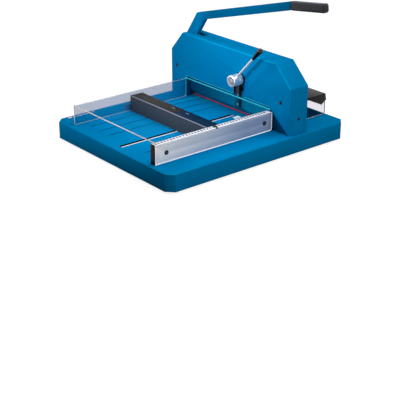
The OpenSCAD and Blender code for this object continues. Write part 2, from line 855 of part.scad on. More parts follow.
module pivot_plate() {
    y0 = pivot_plate_y;
    color(steel)
    difference() {
        union() {
            intersection() {
                plate_xz(y0, pivot_plate_t, housing_points(frame_inset));
                block(from_left(0), from_left(pivot_plate_right), y0, y0 + pivot_plate_t,
                    front_plate_bottom_z, above(housing_h - frame_top_inset));
            }
            block(from_left(sheet_t + run_gap), from_left(leg_w), y0, y0 + pivot_plate_t,
                above(0), front_plate_bottom_z + over);
        }
        y_cylinder(from_left(pivot_x), y0 - over, above(pivot_z), pivot_r + fixed_gap,
            pivot_plate_t + 2 * over);
        y_cylinder(from_left(spacer_places[0][0]), y0 - over, above(spacer_places[0][1]),
            frame_bolt_r + fixed_gap, pivot_plate_t + 2 * over);
        y_cylinder(from_left(guide_roller_x[0]), y0 - over, guide_roller_z,
            frame_bolt_r + fixed_gap, pivot_plate_t + 2 * over);
        x_cylinder(from_left(0), y0 + pivot_plate_t / 2, above(cover_side_screw_z),
            cover_screw_r + fixed_gap, cover_screw_reach + over);
    }
}

module spacer(x, y0, y1, z, r) {
    difference() {
        y_cylinder(x, y0, z, r, y1 - y0);
        y_cylinder(x, y0 - over, z, frame_bolt_r + fixed_gap, y1 - y0 + 2 * over);
    }
}

module frame_spacers() {
    color(steel)
    for (i = [0:4])
        spacer(from_left(spacer_places[i][0]),
            i == 0 ? pivot_plate_y + pivot_plate_t : front_plate_y + front_plate_t,
            rear_plate_y, above(spacer_places[i][1]), spacer_r);
}

bolt_head_r = 6.5;
bolt_head_h = 5;

// A bolt along +Y: head in front of y0, nut behind y1
module frame_bolt(x, y0, y1, z) {
    y_cylinder(x, y0 - bolt_head_h, z, bolt_head_r, bolt_head_h);
    y_cylinder(x, y0 - over, z, frame_bolt_r, y1 - y0 + bolt_head_h + over);
    translate([x, y1, z])
        rotate([-90, 0, 0])
            cylinder(r = bolt_head_r, h = bolt_head_h, $fn = 6);
}

module frame_bolts() {
    back = rear_plate_y + rear_plate_t;
    color(steel) {
        for (i = [0:4])
            frame_bolt(from_left(spacer_places[i][0]), i == 0 ? pivot_plate_y : front_plate_y,
                back, above(spacer_places[i][1]));
        frame_bolt(from_left(guide_roller_x[0]), pivot_plate_y, back, guide_roller_z);
        frame_bolt(from_left(guide_roller_x[1]), front_plate_y, back, guide_roller_z);
    }
}

foot_angle_t = 4;
foot_angle_h = 26;

// An angle that stands on the table against a plate's face, open towards side (-1 front, 1 back)
module foot_angle(x0, x1, face_y, leg, side) {
    y1 = face_y + side * leg;
    y2 = face_y + side * foot_angle_t;
    block(x0, x1, min(face_y, y1), max(face_y, y1), above(0), above(foot_angle_t));
    block(x0, x1, min(face_y, y2), max(face_y, y2), above(0), above(foot_angle_h));
}

module frame_feet() {
    back = rear_plate_y + rear_plate_t;
    reach = (housing_back - sheet_t - back) - 2 * run_gap;
    color(steel) {
        foot_angle(from_left(frame_inset), from_left(rear_leg), back, reach, 1);
        foot_angle(from_left(housing_w - rear_leg), from_left(housing_w - frame_inset), back, reach, 1);
        foot_angle(from_left(frame_inset), from_left(leg_w), pivot_plate_y, reach, -1);
        foot_angle(from_left(housing_w - leg_w + frame_inset), from_left(housing_w - frame_inset),
            front_plate_y, reach, -1);
    }
}

module guide_rollers() {
    color([0.75, 0.72, 0.6])
    for (x = guide_roller_x)
        spacer(from_left(x), front_plate_y + front_plate_t, rear_plate_y, guide_roller_z, guide_roller_r);
}

pin_head_r = 14;
pin_head_h = 4;

module lever_pivot_pin() {
    color(steel) {
        y_cylinder(from_left(pivot_x), pivot_plate_y - pin_head_h, above(pivot_z), pin_head_r, pin_head_h);
        y_cylinder(from_left(pivot_x), pivot_plate_y - over, above(pivot_z), pivot_r,
            rear_plate_y + rear_plate_t - pivot_plate_y + 2 * over);
    }
}

// Directions along and across the neck and the arm, in the front view
neck_dir = [cos(neck_slope), sin(neck_slope)];
neck_out = [-sin(neck_slope), cos(neck_slope)];
arm_dir = [cos(arm_slope), sin(arm_slope)];
arm_out = [-sin(arm_slope), cos(arm_slope)];
elbow = [from_left(elbow_x), above(elbow_z)];
bend = neck_slope - arm_slope;
elbow_outer = elbow + neck_dir * (arm_h - neck_w * cos(bend)) / sin(bend) + neck_out * neck_w;
knee_below_elbow = 68.5;
neck_knee_z = elbow_z - knee_below_elbow;
neck_drop = elbow_z + neck_w * cos(neck_slope) - neck_knee_z;
neck_low_left = elbow + neck_out * neck_w - neck_dir * neck_drop / sin(neck_slope);
neck_low_right = elbow - neck_dir * (elbow_z - pivot_z - lever_hub_r / 2) / sin(neck_slope);
crank_end_r = 13;

tang_len = 55;
tang_h = 16;
tang_t = 12;

module blade_lever() {
    pivot = [from_left(pivot_x), above(pivot_z)];
    crank = [from_left(crank_pin_x), crank_pin_z];
    tip = elbow + arm_dir * arm_len;
    color(paint)
    difference() {
        union() {
            plate_xz(lever_y, lever_t, [[pivot[0] - lever_hub_r, pivot[1]], neck_low_left, elbow_outer,
                tip + arm_out * arm_h, tip, elbow, neck_low_right, pivot]);
            y_cylinder(pivot[0], lever_y, pivot[1], lever_hub_r, lever_t);
            plate_xz(lever_y, crank_t, [[pivot[0] - lever_hub_r, pivot[1]], [crank[0] - crank_end_r,
                crank[1]],
                [crank[0] + crank_end_r, crank[1]], [pivot[0] + lever_hub_r, pivot[1]]]);
            y_cylinder(crank[0], lever_y, crank[1], crank_end_r, crank_t);
            translate([tip[0], lever_y + (lever_t - tang_t) / 2, tip[1]])
                rotate([0, -arm_slope + grip_bend, 0])
                    translate([-tang_h / 2, 0, (arm_h - tang_h) / 2])
                        cube([tang_len + tang_h / 2, tang_t, tang_h]);
        }
        y_cylinder(pivot[0], lever_y - over, pivot[1], bush_r + fixed_gap, lever_t + 2 * over);
        y_cylinder(crank[0], lever_y - over, crank[1], drive_pin_r + fixed_gap, crank_t + 2 * over);
    }
}

module lever_bush() {
    color([0.7, 0.55, 0.3])
    difference() {
        y_cylinder(from_left(pivot_x), lever_y, above(pivot_z), bush_r, lever_t);
        y_cylinder(from_left(pivot_x), lever_y - over, above(pivot_z), pivot_r + shaft_gap,
            lever_t + 2 * over);
    }
}

grip_r = 9;
grip_h = 30;
grip_t = 26;
grip_start = 0.4;
tang_gap = 0.15;

module lever_grip() {
    tip = elbow + arm_dir * arm_len;
    y0 = lever_y + lever_t / 2;
    color(black)
    translate([tip[0], y0, tip[1]])
        rotate([0, -arm_slope + grip_bend, 0])
            difference() {
                hull() {
                    for (z = [-1, 1], y = [-1, 1]) {
                        translate([grip_start + grip_r * 0.4, y * (grip_t / 2 - grip_r),
                            arm_h / 2 + z * (grip_h / 2 - grip_r)])
                            rotate([0, 90, 0])
                                cylinder(r1 = grip_r * 0.8, r2 = grip_r, h = grip_r * 0.4, $fn = 32);
                        translate([grip_len - grip_r, y * (grip_t / 2 - grip_r),
                            arm_h / 2 + z * (grip_h / 2 - grip_r)])
                            sphere(r = grip_r, $fn = 32);
                    }
                }
                translate([-over, -tang_t / 2 - tang_gap, (arm_h - tang_h) / 2 - tang_gap])
                    cube([tang_len + 2 * over, tang_t + 2 * tang_gap, tang_h + 2 * tang_gap]);
            }
}

module drive_pin() {
    color(steel)
    y_cylinder(from_left(crank_pin_x), lever_y, crank_pin_z, drive_pin_r, carrier_y + carrier_t - lever_y);
}

module drive_roller() {
    color([0.75, 0.72, 0.6])
    difference() {
        y_cylinder(from_left(crank_pin_x), carrier_y, crank_pin_z, drive_roller_r, carrier_t);
        y_cylinder(from_left(crank_pin_x), carrier_y - over, crank_pin_z, drive_pin_r + shaft_gap,
            carrier_t + 2 * over);
    }
}

fork_gap = 0.1;
blade_bolt_left = 48;
blade_bolt_right = 25;
blade_bolt_step = (blade_len - blade_bolt_left - blade_bolt_right) / 4;
blade_bolt_x = [for (i = [0:4]) blade_left + blade_bolt_left + i * blade_bolt_step];
bolt_over_edge = 43.3;
blade_bolt_z = blade_rest + bolt_over_edge;
blade_bolt_r = 4;

module blade_carrier() {
    fork_x = from_left(crank_pin_x);
    fork_half = drive_roller_r + fork_gap;
    fork_left = fork_x - fork_half - fork_wall;
    fork_right = fork_x + fork_half + fork_wall;
    fork_top = crank_pin_z + blade_drop + drive_roller_r / 2;
    right = from_left(carrier_right);
    slot_half = guide_roller_r + fork_gap;
    travel = blade_drop * sqrt(2);
    color([0.45, 0.46, 0.48])
    difference() {
        plate_xz(carrier_y, carrier_t, [[fork_left + 2 * fork_wall, carrier_bottom_z],
            [right - fork_wall, carrier_bottom_z], [right, carrier_bottom_z + fork_wall],
            [right, crank_pin_z + blade_drop], [right - 4 * fork_wall, carrier_top_z],
            [fork_right + 5 * fork_wall, carrier_top_z], [fork_right + 3 * fork_wall, fork_top],
            [fork_left, fork_top], [fork_left, carrier_bottom_z + 2 * fork_wall]]);
        block(fork_x - fork_half, fork_x + fork_half, carrier_y - over, carrier_y + carrier_t + over,
            crank_pin_z - drive_roller_r - over, fork_top + over);
        for (x = guide_roller_x)
            translate([from_left(x), carrier_y - over, guide_roller_z])
                rotate([0, -45, 0]) {
                    y_cylinder(0, 0, 0, slot_half, carrier_t + 2 * over);
                    y_cylinder(travel, 0, 0, slot_half, carrier_t + 2 * over);
                    translate([0, 0, -slot_half])
                        cube([travel, carrier_t + 2 * over, 2 * slot_half]);
                }
        for (x = blade_bolt_x) {
            y_cylinder(from_left(x), carrier_y - over, above(blade_bolt_z), blade_bolt_r + fixed_gap,
                carrier_t + 2 * over);
            y_cylinder(from_left(x), carrier_y + carrier_t - blade_bolt_r, above(blade_bolt_z),
                2 * blade_bolt_r, blade_bolt_r + over);
        }
    }
}

module blade() {
    left = from_left(blade_left);
    color([0.86, 0.87, 0.88])
    difference() {
        plate_yz(left, blade_len, [[blade_y, blade_edge_z], [blade_y, blade_edge_z + blade_h],
            [blade_y + blade_t, blade_edge_z + blade_h], [blade_y + blade_t, blade_edge_z + bevel_h]]);
        for (x = blade_bolt_x)
            y_cylinder(from_left(x), blade_y + over, above(blade_bolt_z), blade_bolt_r + fixed_gap, blade_t);
    }
}

module blade_bolts() {
    color(steel)
    for (x = blade_bolt_x)
        difference() {
            union() {
                y_cylinder(from_left(x), blade_y + 2 * over, above(blade_bolt_z), blade_bolt_r,
                    blade_t + carrier_t - blade_bolt_r);
                y_cylinder(from_left(x), carrier_y + carrier_t - blade_bolt_r + fixed_gap,
                    above(blade_bolt_z),
                    2 * blade_bolt_r - over / 2, blade_bolt_r - 2 * run_gap);
            }
            translate([from_left(x), carrier_y + carrier_t - blade_bolt_r / 2, above(blade_bolt_z)])
                rotate([-90, 0, 0])
                    cylinder(r = blade_bolt_r / 2, h = blade_bolt_r, $fn = 6);
        }
}

beam_sole_bevel = 2;
beam_top_bevel = 6;
rack_back = 20;

module press_beam() {
    x0 = from_left(opening_left + beam_end_gap);
    len = cut_w;
    top = beam_bottom_z + beam_h;
    color([0.0, 0.33, 0.45])
    difference() {
        plate_yz(x0, len, [[beam_y, beam_bottom_z + beam_sole_bevel], [beam_y + beam_sole_bevel,
            beam_bottom_z],
            [beam_y + beam_t, beam_bottom_z], [beam_y + beam_t, top], [beam_y + beam_top_bevel, top],
            [beam_y, top - beam_top_bevel]]);
        block(from_left(clamp_slot[0]), from_left(clamp_slot[1]), beam_y - over, rack_y + rack_t,
            beam_bottom_z - over, top + over);
        for (x = guide_rod_x)
            z_cylinder(from_left(x), guide_rod_y, beam_bottom_z - over, guide_rod_r + shaft_gap,
                beam_h + 2 * over);
        for (z = rack_screw_z)
            y_cylinder(rack_screw_x(), rack_y, beam_bottom_z + z, screw_r + fixed_gap,
                rack_t + cover_screw_reach);
    }
}

rack_screw_z = [14, 46];
function rack_screw_x() = from_left(clamp_slot[0]) + rack_back / 2;

gear_clear = 0.4;
gear_slack = 0.25;
pressure_angle = 20;
rack_addendum = 0.8 * gear_module;
rack_top_z = above(clamp_z) + press_travel + gear_module * 5;
rack_first_tooth_z = above(clamp_z) - 2 * gear_module * PI;
rack_teeth = floor((rack_top_z - rack_first_tooth_z) / (gear_module * PI));

module press_rack() {
    pitch_x = from_left(clamp_x) - pitch_r;
    root_x = pitch_x - gear_module - gear_clear;
    step = gear_module * PI;
    half = step / 4 - gear_slack / 2;
    lean = tan(pressure_angle);
    color([0.2, 0.2, 0.22])
    difference() {
        union() {
            block(from_left(clamp_slot[0]) + run_gap, root_x, rack_y, rack_y + rack_t,
                beam_bottom_z + screw_r, rack_top_z);
            for (i = [0:rack_teeth - 1]) {
                z = rack_first_tooth_z + (i + 0.5) * step;
                plate_xz(rack_y, rack_t, [[root_x - over / 2, z - half - (gear_module + gear_clear) * lean],
                    [root_x, z - half - (gear_module + gear_clear) * lean],
                    [pitch_x + rack_addendum, z - half + rack_addendum * lean],
                    [pitch_x + rack_addendum, z + half - rack_addendum * lean],
                    [root_x, z + half + (gear_module + gear_clear) * lean],
                    [root_x - over / 2, z + half + (gear_module + gear_clear) * lean]]);
            }
        }
        for (z = rack_screw_z) {
            y_cylinder(rack_screw_x(), rack_y - over, beam_bottom_z + z, screw_r + fixed_gap,
                rack_t + 2 * over);
            y_cylinder(rack_screw_x(), rack_y - over, beam_bottom_z + z, screw_head_r + over,
                screw_head_h + 2 * over);
        }
    }
}

module rack_screws() {
    color(steel)
    for (z = rack_screw_z) {
        y_cylinder(rack_screw_x(), rack_y + over, beam_bottom_z + z, screw_head_r, screw_head_h);
        y_cylinder(rack_screw_x(), rack_y + 2 * over, beam_bottom_z + z, screw_r,
            rack_t + cover_screw_reach / 2);
    }
}

rod_low = 3;
block_w = 28;
block_from_top = 78;
block_z = housing_h - block_from_top;
block_h = 30;

module press_guide_rods() {
    color(steel)
    for (x = guide_rod_x)
        z_cylinder(from_left(x), guide_rod_y, beam_bottom_z + rod_low, guide_rod_r,
            above(block_z + block_h) - beam_bottom_z);
}

module guide_rod_blocks() {
    color(steel)
    for (i = [0:1])
        difference() {
            block(from_left(guide_rod_x[i] - block_w / 2), from_left(guide_rod_x[i] + block_w / 2),
                guide_rod_y - guide_rod_r - run_gap * 5, i == 0 ? pivot_plate_y : front_plate_y,
                above(block_z), above(block_z + block_h));
            z_cylinder(from_left(guide_rod_x[i]), guide_rod_y, above(block_z) - over,
                guide_rod_r + fixed_gap, block_h + 2 * over);
        }
}

// Half the angle of a pinion tooth at radius r
function involute(a) = tan(a) * 180 / PI - a;
base_r = pitch_r * cos(pressure_angle);
tip_r = pitch_r + gear_module;
root_r = pitch_r - rack_addendum - gear_clear;
half_tooth = (PI * gear_module / 2 - gear_slack) / (2 * pitch_r) * 180 / PI;
function tooth_half(r) = half_tooth + involute(pressure_angle) - involute(acos(base_r / max(r, base_r)));
tooth_radii = [root_r, base_r, base_r + (tip_r - base_r) * 0.3, base_r + (tip_r - base_r) * 0.6, tip_r];
function on_circle(r, a) = [r * cos(a), r * sin(a)];

module pinion_outline() {
    polygon([for (k = [0:pinion_teeth - 1])
        let (mid = 180 + k * 360 / pinion_teeth)
        each concat([for (r = tooth_radii) on_circle(r, mid - tooth_half(r))],
            [for (i = [4:-1:0]) on_circle(tooth_radii[i], mid + tooth_half(tooth_radii[i]))])]);
}

clamp_hub_gap = 0.8;
collar_t = 4.2;
collar_r = 22;
rod_y_back = 14;
rod_hole_deep = 10;

// Everything on the clamp shaft is placed from the shaft's axis, at the housing's front
module at_clamp() {
    translate([from_left(clamp_x), housing_front, above(clamp_z)])
        children();
}

module clamp_shaft() {
    front = -collar_t - clamp_hub_gap - hub_len + rod_y_back + rod_r + over;
    color(steel)
    at_clamp() {
        y_cylinder(0, front, 0, shaft_r, front_plate_y + front_plate_t - housing_front - front - over);
        translate([0, rack_y + rack_t - housing_front, 0])
            rotate([90, 0, 0])
                linear_extrude(rack_t)
                    pinion_outline();
    }
}

hub_bevel = 1.5;
hub_dish = 1;

module clamp_hub() {
    color([0.85, 0.86, 0.88])
    at_clamp()
        translate([0, -collar_t - clamp_hub_gap, 0])
            difference() {
                rotate([90, 0, 0])
                    rotate_extrude()
                        polygon([[0, shaft_seat], [shaft_r + fixed_gap, shaft_seat], [shaft_r + fixed_gap, 0],
                            [hub_r - hub_bevel, 0], [hub_r, hub_bevel],
                            [hub_r, hub_len - hub_bevel], [hub_r - hub_bevel, hub_len], [hub_r * 0.72,
                                hub_len],
                            [hub_r * 0.66, hub_len - hub_dish], [0, hub_len - hub_dish]]);
                rotate([0, 90 - rod_slope, 0])
                    translate([0, -hub_len + rod_y_back, hub_r - rod_hole_deep])
                        cylinder(r = rod_r + fixed_gap, h = hub_r);
            }
}

shaft_seat = hub_len - rod_y_back - rod_r - over;

module clamp_collar() {
    color(black)
    at_clamp()
        translate([0, -clamp_hub_gap, 0])
            rotate([90, 0, 0])
                rotate_extrude()
                    polygon([[shaft_r + fixed_gap, 0], [collar_r, 0], [collar_r, collar_t - over],
                        [collar_r - over, collar_t], [shaft_r + fixed_gap, collar_t]]);
}

// The rod's own frame: along +Z from the shaft's axis
module at_rod() {
    at_clamp()
        translate([0, -collar_t - clamp_hub_gap - hub_len + rod_y_back, 0])
            rotate([0, 90 - rod_slope, 0])
                children();
}

knob_plug = 14;

module clamp_rod() {
    color([0.85, 0.86, 0.88])
    at_rod()
        z_cylinder(0, 0, hub_r - rod_hole_deep, rod_r, rod_len + knob_plug - hub_r + rod_hole_deep);
}

knob_small_r = 6;
knob_big_r = 9.5;

module clamp_knob() {
    color(black)
    at_rod()
        translate([0, 0, rod_len])
            rotate_extrude()
                polygon(concat([[rod_r + fixed_gap, knob_plug + over], [rod_r + fixed_gap, 0],
                    [knob_small_r - over, 0], [knob_small_r, over]],
                    [for (a = [0:15:90]) [knob_big_r * cos(a), knob_len - knob_big_r + knob_big_r * sin(a)]],
                    [[0, knob_plug + over]]));
}

bearing_r = 13;
bearing_flange_r = 19;
bearing_flange_t = 4;

module clamp_bearing() {
    y0 = rack_y + rack_t + over;
    color([0.4, 0.4, 0.42])
    difference() {
        union() {
            y_cylinder(from_left(clamp_x), y0, above(clamp_z), bearing_r, front_plate_y - y0);
            y_cylinder(from_left(clamp_x), front_plate_y - bearing_flange_t, above(clamp_z),
                bearing_flange_r, bearing_flange_t);
        }
        y_cylinder(from_left(clamp_x), y0 - over, above(clamp_z), shaft_r + shaft_gap,
            front_plate_y - y0 + 2 * over);
    }
}

gauge_wall = 3;
gauge_lift = 0.3;
gauge_cap_t = 3;
gauge_edge = 2;

module gauge_bar() {
    x0 = from_left(guard_left) + clear_t + gauge_gap;
    x1 = guide_x - gauge_gap;
    y0 = table_front + gauge_place;
    z0 = above(gauge_lift);
    z1 = above(gauge_h);
    y1 = y0 + gauge_d;
    web_y = y0 + gauge_d / 2;
    color([0.17, 0.19, 0.23])
    difference() {
        plate_yz(x0 + gauge_cap_t, x1 - x0 - 2 * gauge_cap_t, [[y0, z0], [y1, z0], [y1, z1 - gauge_edge],
            [y1 - gauge_edge, z1], [y0 + gauge_edge, z1], [y0, z1 - gauge_edge]]);
        block(x0 - over, x1 + over, y0 + gauge_wall, web_y - gauge_wall / 2, z0 + gauge_wall,
            z1 - gauge_wall);
        block(x0 - over, x1 + over, web_y + gauge_wall / 2, y1 - gauge_wall, z0 + gauge_wall,
            z1 - gauge_wall);
        for (s = [-1, 1])
            z_cylinder(slot_x + slot_w / 2, web_y + s * gauge_screw_y, z0 - over,
                screw_r + fixed_gap, gauge_wall + 2 * over);
    }
}

gauge_screw_y = 14;

module gauge_end_caps() {
    x0 = from_left(guard_left) + clear_t + gauge_gap;
    x1 = guide_x - gauge_gap;
    y0 = table_front + gauge_place;
    y1 = y0 + gauge_d;
    z0 = above(gauge_lift);
    z1 = above(gauge_h);
    color(black)
    for (x = [x0, x1 - gauge_cap_t])
        plate_yz(x, gauge_cap_t, [[y0, z0], [y1, z0], [y1, z1 - gauge_edge],
            [y1 - gauge_edge, z1], [y0 + gauge_edge, z1], [y0, z1 - gauge_edge]]);
}

slider_len = 46;
slider_foot_w = 34;
slider_foot_t = 6;

module gauge_slider() {
    x0 = slot_x + run_gap;
    x1 = slot_x + slot_w - run_gap;
    yc = table_front + gauge_place + gauge_d / 2;
    foot_top = table_top - table_plate - rail_t - run_gap;
    color([0.75, 0.76, 0.78])
    difference() {
        union() {
            block(x0, x1, yc - slider_len / 2, yc + slider_len / 2, foot_top - over, above(gauge_lift));
            block(slot_x + slot_w / 2 - slider_foot_w / 2, slot_x + slot_w / 2 + slider_foot_w / 2,
                yc - slider_len / 2, yc + slider_len / 2, foot_top - slider_foot_t, foot_top);
        }
        for (s = [-1, 1])
            z_cylinder(slot_x + slot_w / 2, yc + s * gauge_screw_y, foot_top - slider_foot_t - over,
                screw_r + fixed_gap, table_plate + rail_t + slider_foot_t + 3 * over);
    }
}

module gauge_screws() {
    yc = table_front + gauge_place + gauge_d / 2;
    foot_bottom = table_top - table_plate - rail_t - run_gap - slider_foot_t;
    color(steel)
    for (s = [-1, 1]) {
        z_cylinder(slot_x + slot_w / 2, yc + s * gauge_screw_y, foot_bottom - screw_head_h,
            screw_head_r, screw_head_h);
        z_cylinder(slot_x + slot_w / 2, yc + s * gauge_screw_y, foot_bottom - over, screw_r,
            above(gauge_lift + gauge_wall) - foot_bottom);
    }
}

guard_lift = 0.6;
guard_corner = 5;

module front_guard() {
    x0 = from_left(guard_left);
    x1 = from_left(guard_right);
    y0 = table_front + guard_inset;
    y1 = housing_front - guard_back_gap;
    color(clear) {
        difference() {
            plate_yz(x0, clear_t, [[y0 + guard_corner, above(guard_lift)], [y1 - guard_corner,
                above(guard_lift)],
                [y1, above(guard_lift + guard_corner)], [y1, guard_top_z - clear_t], [y0,
                    guard_top_z - clear_t],
                [y0, above(guard_lift + guard_corner)]]);
        }
        difference() {
            block(x0, x1, y0, y1, guard_top_z - clear_t, guard_top_z);
            difference() {
                block(x0 - over, x0 + clear_t, y0 - over, y1 + over, guard_top_z - clear_t,
                    guard_top_z + over);
                translate([x0 + clear_t, y0 - 2 * over, guard_top_z - clear_t])
                    rotate([-90, 0, 0])
                        cylinder(r = clear_t, h = y1 - y0 + 4 * over);
            }
        }
    }
}

clip_x = 14;
clip_len = 24;
clip_from_back = 139;
clip_h = 8;
clip_t = 2;

module guard_clip() {
    x1 = guide_x - 2 * gauge_gap;
    y0 = guide_y + guide_len - clip_from_back;
    z1 = guard_top_z - clear_t;
    color(clear)
    plate_xz(y0, clip_len, [[x1 - clip_x, z1 - clip_t], [x1 - clip_t, z1 - clip_t], [x1 - clip_t,
        z1 - clip_h],
        [x1, z1 - clip_h], [x1, z1], [x1 - clip_x, z1]]);
}

arm_from_left = 21;
arm_from_right = 19;
arm_places = [opening_left + arm_from_left, cut_end - arm_from_right];
arm_w = 12;
barrel_r = 3.5;
hinge_pin_r = 1.8;
arm_t = 3;
arm_reach = 22;

module guard_hinge_arms() {
    under = guard_top_z - clear_t;
    color(clear)
    for (x = arm_places) {
        x0 = from_left(x) - arm_w / 2;
        difference() {
            union() {
                block(x0, x0 + arm_w, guard_axis_y - arm_reach - arm_t, guard_axis_y + arm_t + sheet_t / 4,
                    under - arm_t, under);
                block(x0, x0 + arm_w, guard_axis_y + sheet_t / 4, guard_axis_y + arm_t + sheet_t / 4,
                    under - arm_t, guard_axis_z);
                x_cylinder(x0, guard_axis_y, guard_axis_z, barrel_r, arm_w);
            }
            x_cylinder(x0 - over, guard_axis_y, guard_axis_z, hinge_pin_r + shaft_gap, arm_w + 2 * over);
        }
    }
}

bracket_t = 3;
bracket_gap = 0.4;
bracket_r = 4;

module guard_hinge_brackets() {
    color(steel)
    for (x = arm_places, s = [-1, 1]) {
        inner = from_left(x) + s * (arm_w / 2 + bracket_gap);
        outer = inner + s * bracket_t;
        difference() {
            union() {
                block(min(inner, outer), max(inner, outer), housing_front + sheet_t, guard_axis_y,
                    guard_axis_z - bracket_r + bracket_gap, guard_axis_z + 2 * bracket_r);
                x_cylinder(min(inner, outer), guard_axis_y, guard_axis_z, bracket_r - bracket_gap, bracket_t);
            }
            x_cylinder(min(inner, outer) - over, guard_axis_y, guard_axis_z, hinge_pin_r + fixed_gap,
                bracket_t + 2 * over);
        }
    }
}

module guard_hinge_pins() {
    reach = arm_w / 2 + bracket_gap + bracket_t;
    color(steel)
    for (x = arm_places)
        x_cylinder(from_left(x) - reach, guard_axis_y, guard_axis_z, hinge_pin_r, 2 * reach);
}

// Side view of the rear handle, as [distance behind the housing, height above the table]
handle_front = 83;
handle_back = 170;
handle_rear = 175;
handle_nose = 151;
handle_low = 37;
handle_lip = 50;
handle_start_z = 64;
handle_rake = 10;

function handle_points(d) =
    [[housing_back + handle_front + 2 * d, above(rear_guard_h) - d],
     [housing_back + handle_back - d, above(rear_guard_h) - d],
     [housing_back + handle_rear - d, above(handle_lip)],
     [housing_back + handle_nose, above(handle_low) + d],
     [housing_back + handle_front + 2 * d + handle_rake, above(handle_start_z) + d / 2]];

rear_guard_start = 12;
rear_guard_lift = 0.6;

module rear_guard() {
    x0 = from_left(guard_left);
    x1 = from_left(rear_guard_right);
    y0 = housing_back + rear_guard_start;
    y1 = housing_back + handle_back;
    top = above(rear_guard_h) - sheet_t;
    color(clear)
    difference() {
        union() {
            for (x = [x0, x1 - clear_t])
                block(x, x + clear_t, y0, y1, above(rear_guard_lift), top);
            block(x0, x1, y0, y1, top - clear_t, top);
        }
        plate_yz(x0 - over, x1 - x0 + 2 * over, handle_points(-2 * handle_gap));
    }
}

handle_gap = 0.3;
handle_wall = 2.5;

module rear_guard_handle() {
    x0 = from_left(guard_left);
    x1 = from_left(rear_guard_right);
    color(black)
    difference() {
        plate_yz(x0, x1 - x0, handle_points(0));
        plate_yz(x0 + handle_wall, x1 - x0 - 2 * handle_wall, handle_points(handle_wall));
    }
}

rear_arm_from_left = 43;
rear_arm_from_right = 27;
rear_arm_places = [opening_left + rear_arm_from_left, cut_end - rear_arm_from_right];
leaf_w = 30;
leaf_t = 2.5;
leaf_len = 34;
rear_pin_r = 2;
rear_barrel_r = 4.5;

module rear_hinge_leaves() {
    top = above(rear_guard_h) - sheet_t;
    color(black)
    for (x = rear_arm_places)
        difference() {
            union() {
                block(from_left(x) - leaf_w / 2, from_left(x) + leaf_w / 2, rear_axis_y,
                    rear_axis_y + leaf_len, top, top + leaf_t);
                block(from_left(x) - leaf_w / 2, from_left(x) + leaf_w / 2, rear_axis_y - leaf_t / 2,
                    rear_axis_y + leaf_t / 2, top, rear_axis_z);
                x_cylinder(from_left(x) - leaf_w / 2, rear_axis_y, rear_axis_z, rear_barrel_r, leaf_w);
            }
            x_cylinder(from_left(x) - leaf_w / 2 - over, rear_axis_y, rear_axis_z, rear_pin_r + shaft_gap,
                leaf_w + 2 * over);
        }
}

module rear_hinge_brackets() {
    color(black)
    for (x = rear_arm_places) {
        block(from_left(x) - leaf_w / 2, from_left(x) + leaf_w / 2, housing_back,
            housing_back + leaf_t - run_gap, rear_axis_z - leaf_t, rear_axis_z + leaf_w / 2);
        for (s = [-1, 1]) {
            inner = from_left(x) + s * (leaf_w / 2 + bracket_gap);
            outer = inner + s * bracket_t;
            difference() {
                union() {
                    block(min(inner, outer), max(inner, outer), housing_back, rear_axis_y,
                        rear_axis_z - rear_barrel_r, rear_axis_z + leaf_w / 2);
                    x_cylinder(min(inner, outer), rear_axis_y, rear_axis_z, rear_barrel_r, bracket_t);
                    block(min(from_left(x), outer), max(from_left(x), outer), housing_back,
                        housing_back + leaf_t - run_gap, rear_axis_z + rear_barrel_r,
                            rear_axis_z + leaf_w / 2);
                }
                x_cylinder(min(inner, outer) - over, rear_axis_y, rear_axis_z, rear_pin_r + fixed_gap,
                    bracket_t + 2 * over);
            }
        }
    }
}

module rear_hinge_pins() {
    reach = leaf_w / 2 + bracket_gap + bracket_t;
    color(steel)
    for (x = rear_arm_places)
        x_cylinder(from_left(x) - reach, rear_axis_y, rear_axis_z, rear_pin_r, 2 * reach);
}

table_base();
gauge_rail();
cutting_stick();
rubber_feet();
foot_screws();
side_guide();
side_guide_bar();
side_guide_cap();
side_guide_screws();
scale_strip();
scale_strip_screw();
guard_stop();
front_cover();
rear_cover();
cover_screws();
cover_standoffs();
inner_cheeks();
rear_frame_plate();
front_frame_plate();
pivot_plate();
frame_spacers();
frame_bolts();
frame_feet();
guide_rollers();
lever_pivot_pin();
blade_lever();
lever_bush();
lever_grip();
drive_pin();
drive_roller();
blade_carrier();
blade();
blade_bolts();
press_beam();
press_rack();
rack_screws();
press_guide_rods();
guide_rod_blocks();
clamp_shaft();
clamp_hub();
clamp_collar();
clamp_rod();
clamp_knob();
clamp_bearing();
gauge_bar();
gauge_end_caps();
gauge_slider();
gauge_screws();
front_guard();
guard_clip();
guard_hinge_arms();
guard_hinge_brackets();
guard_hinge_pins();
rear_guard();
rear_guard_handle();
rear_hinge_leaves();
rear_hinge_brackets();
rear_hinge_pins();
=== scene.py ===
import json
import math

import bmesh
import bpy
from mathutils import Matrix, Vector


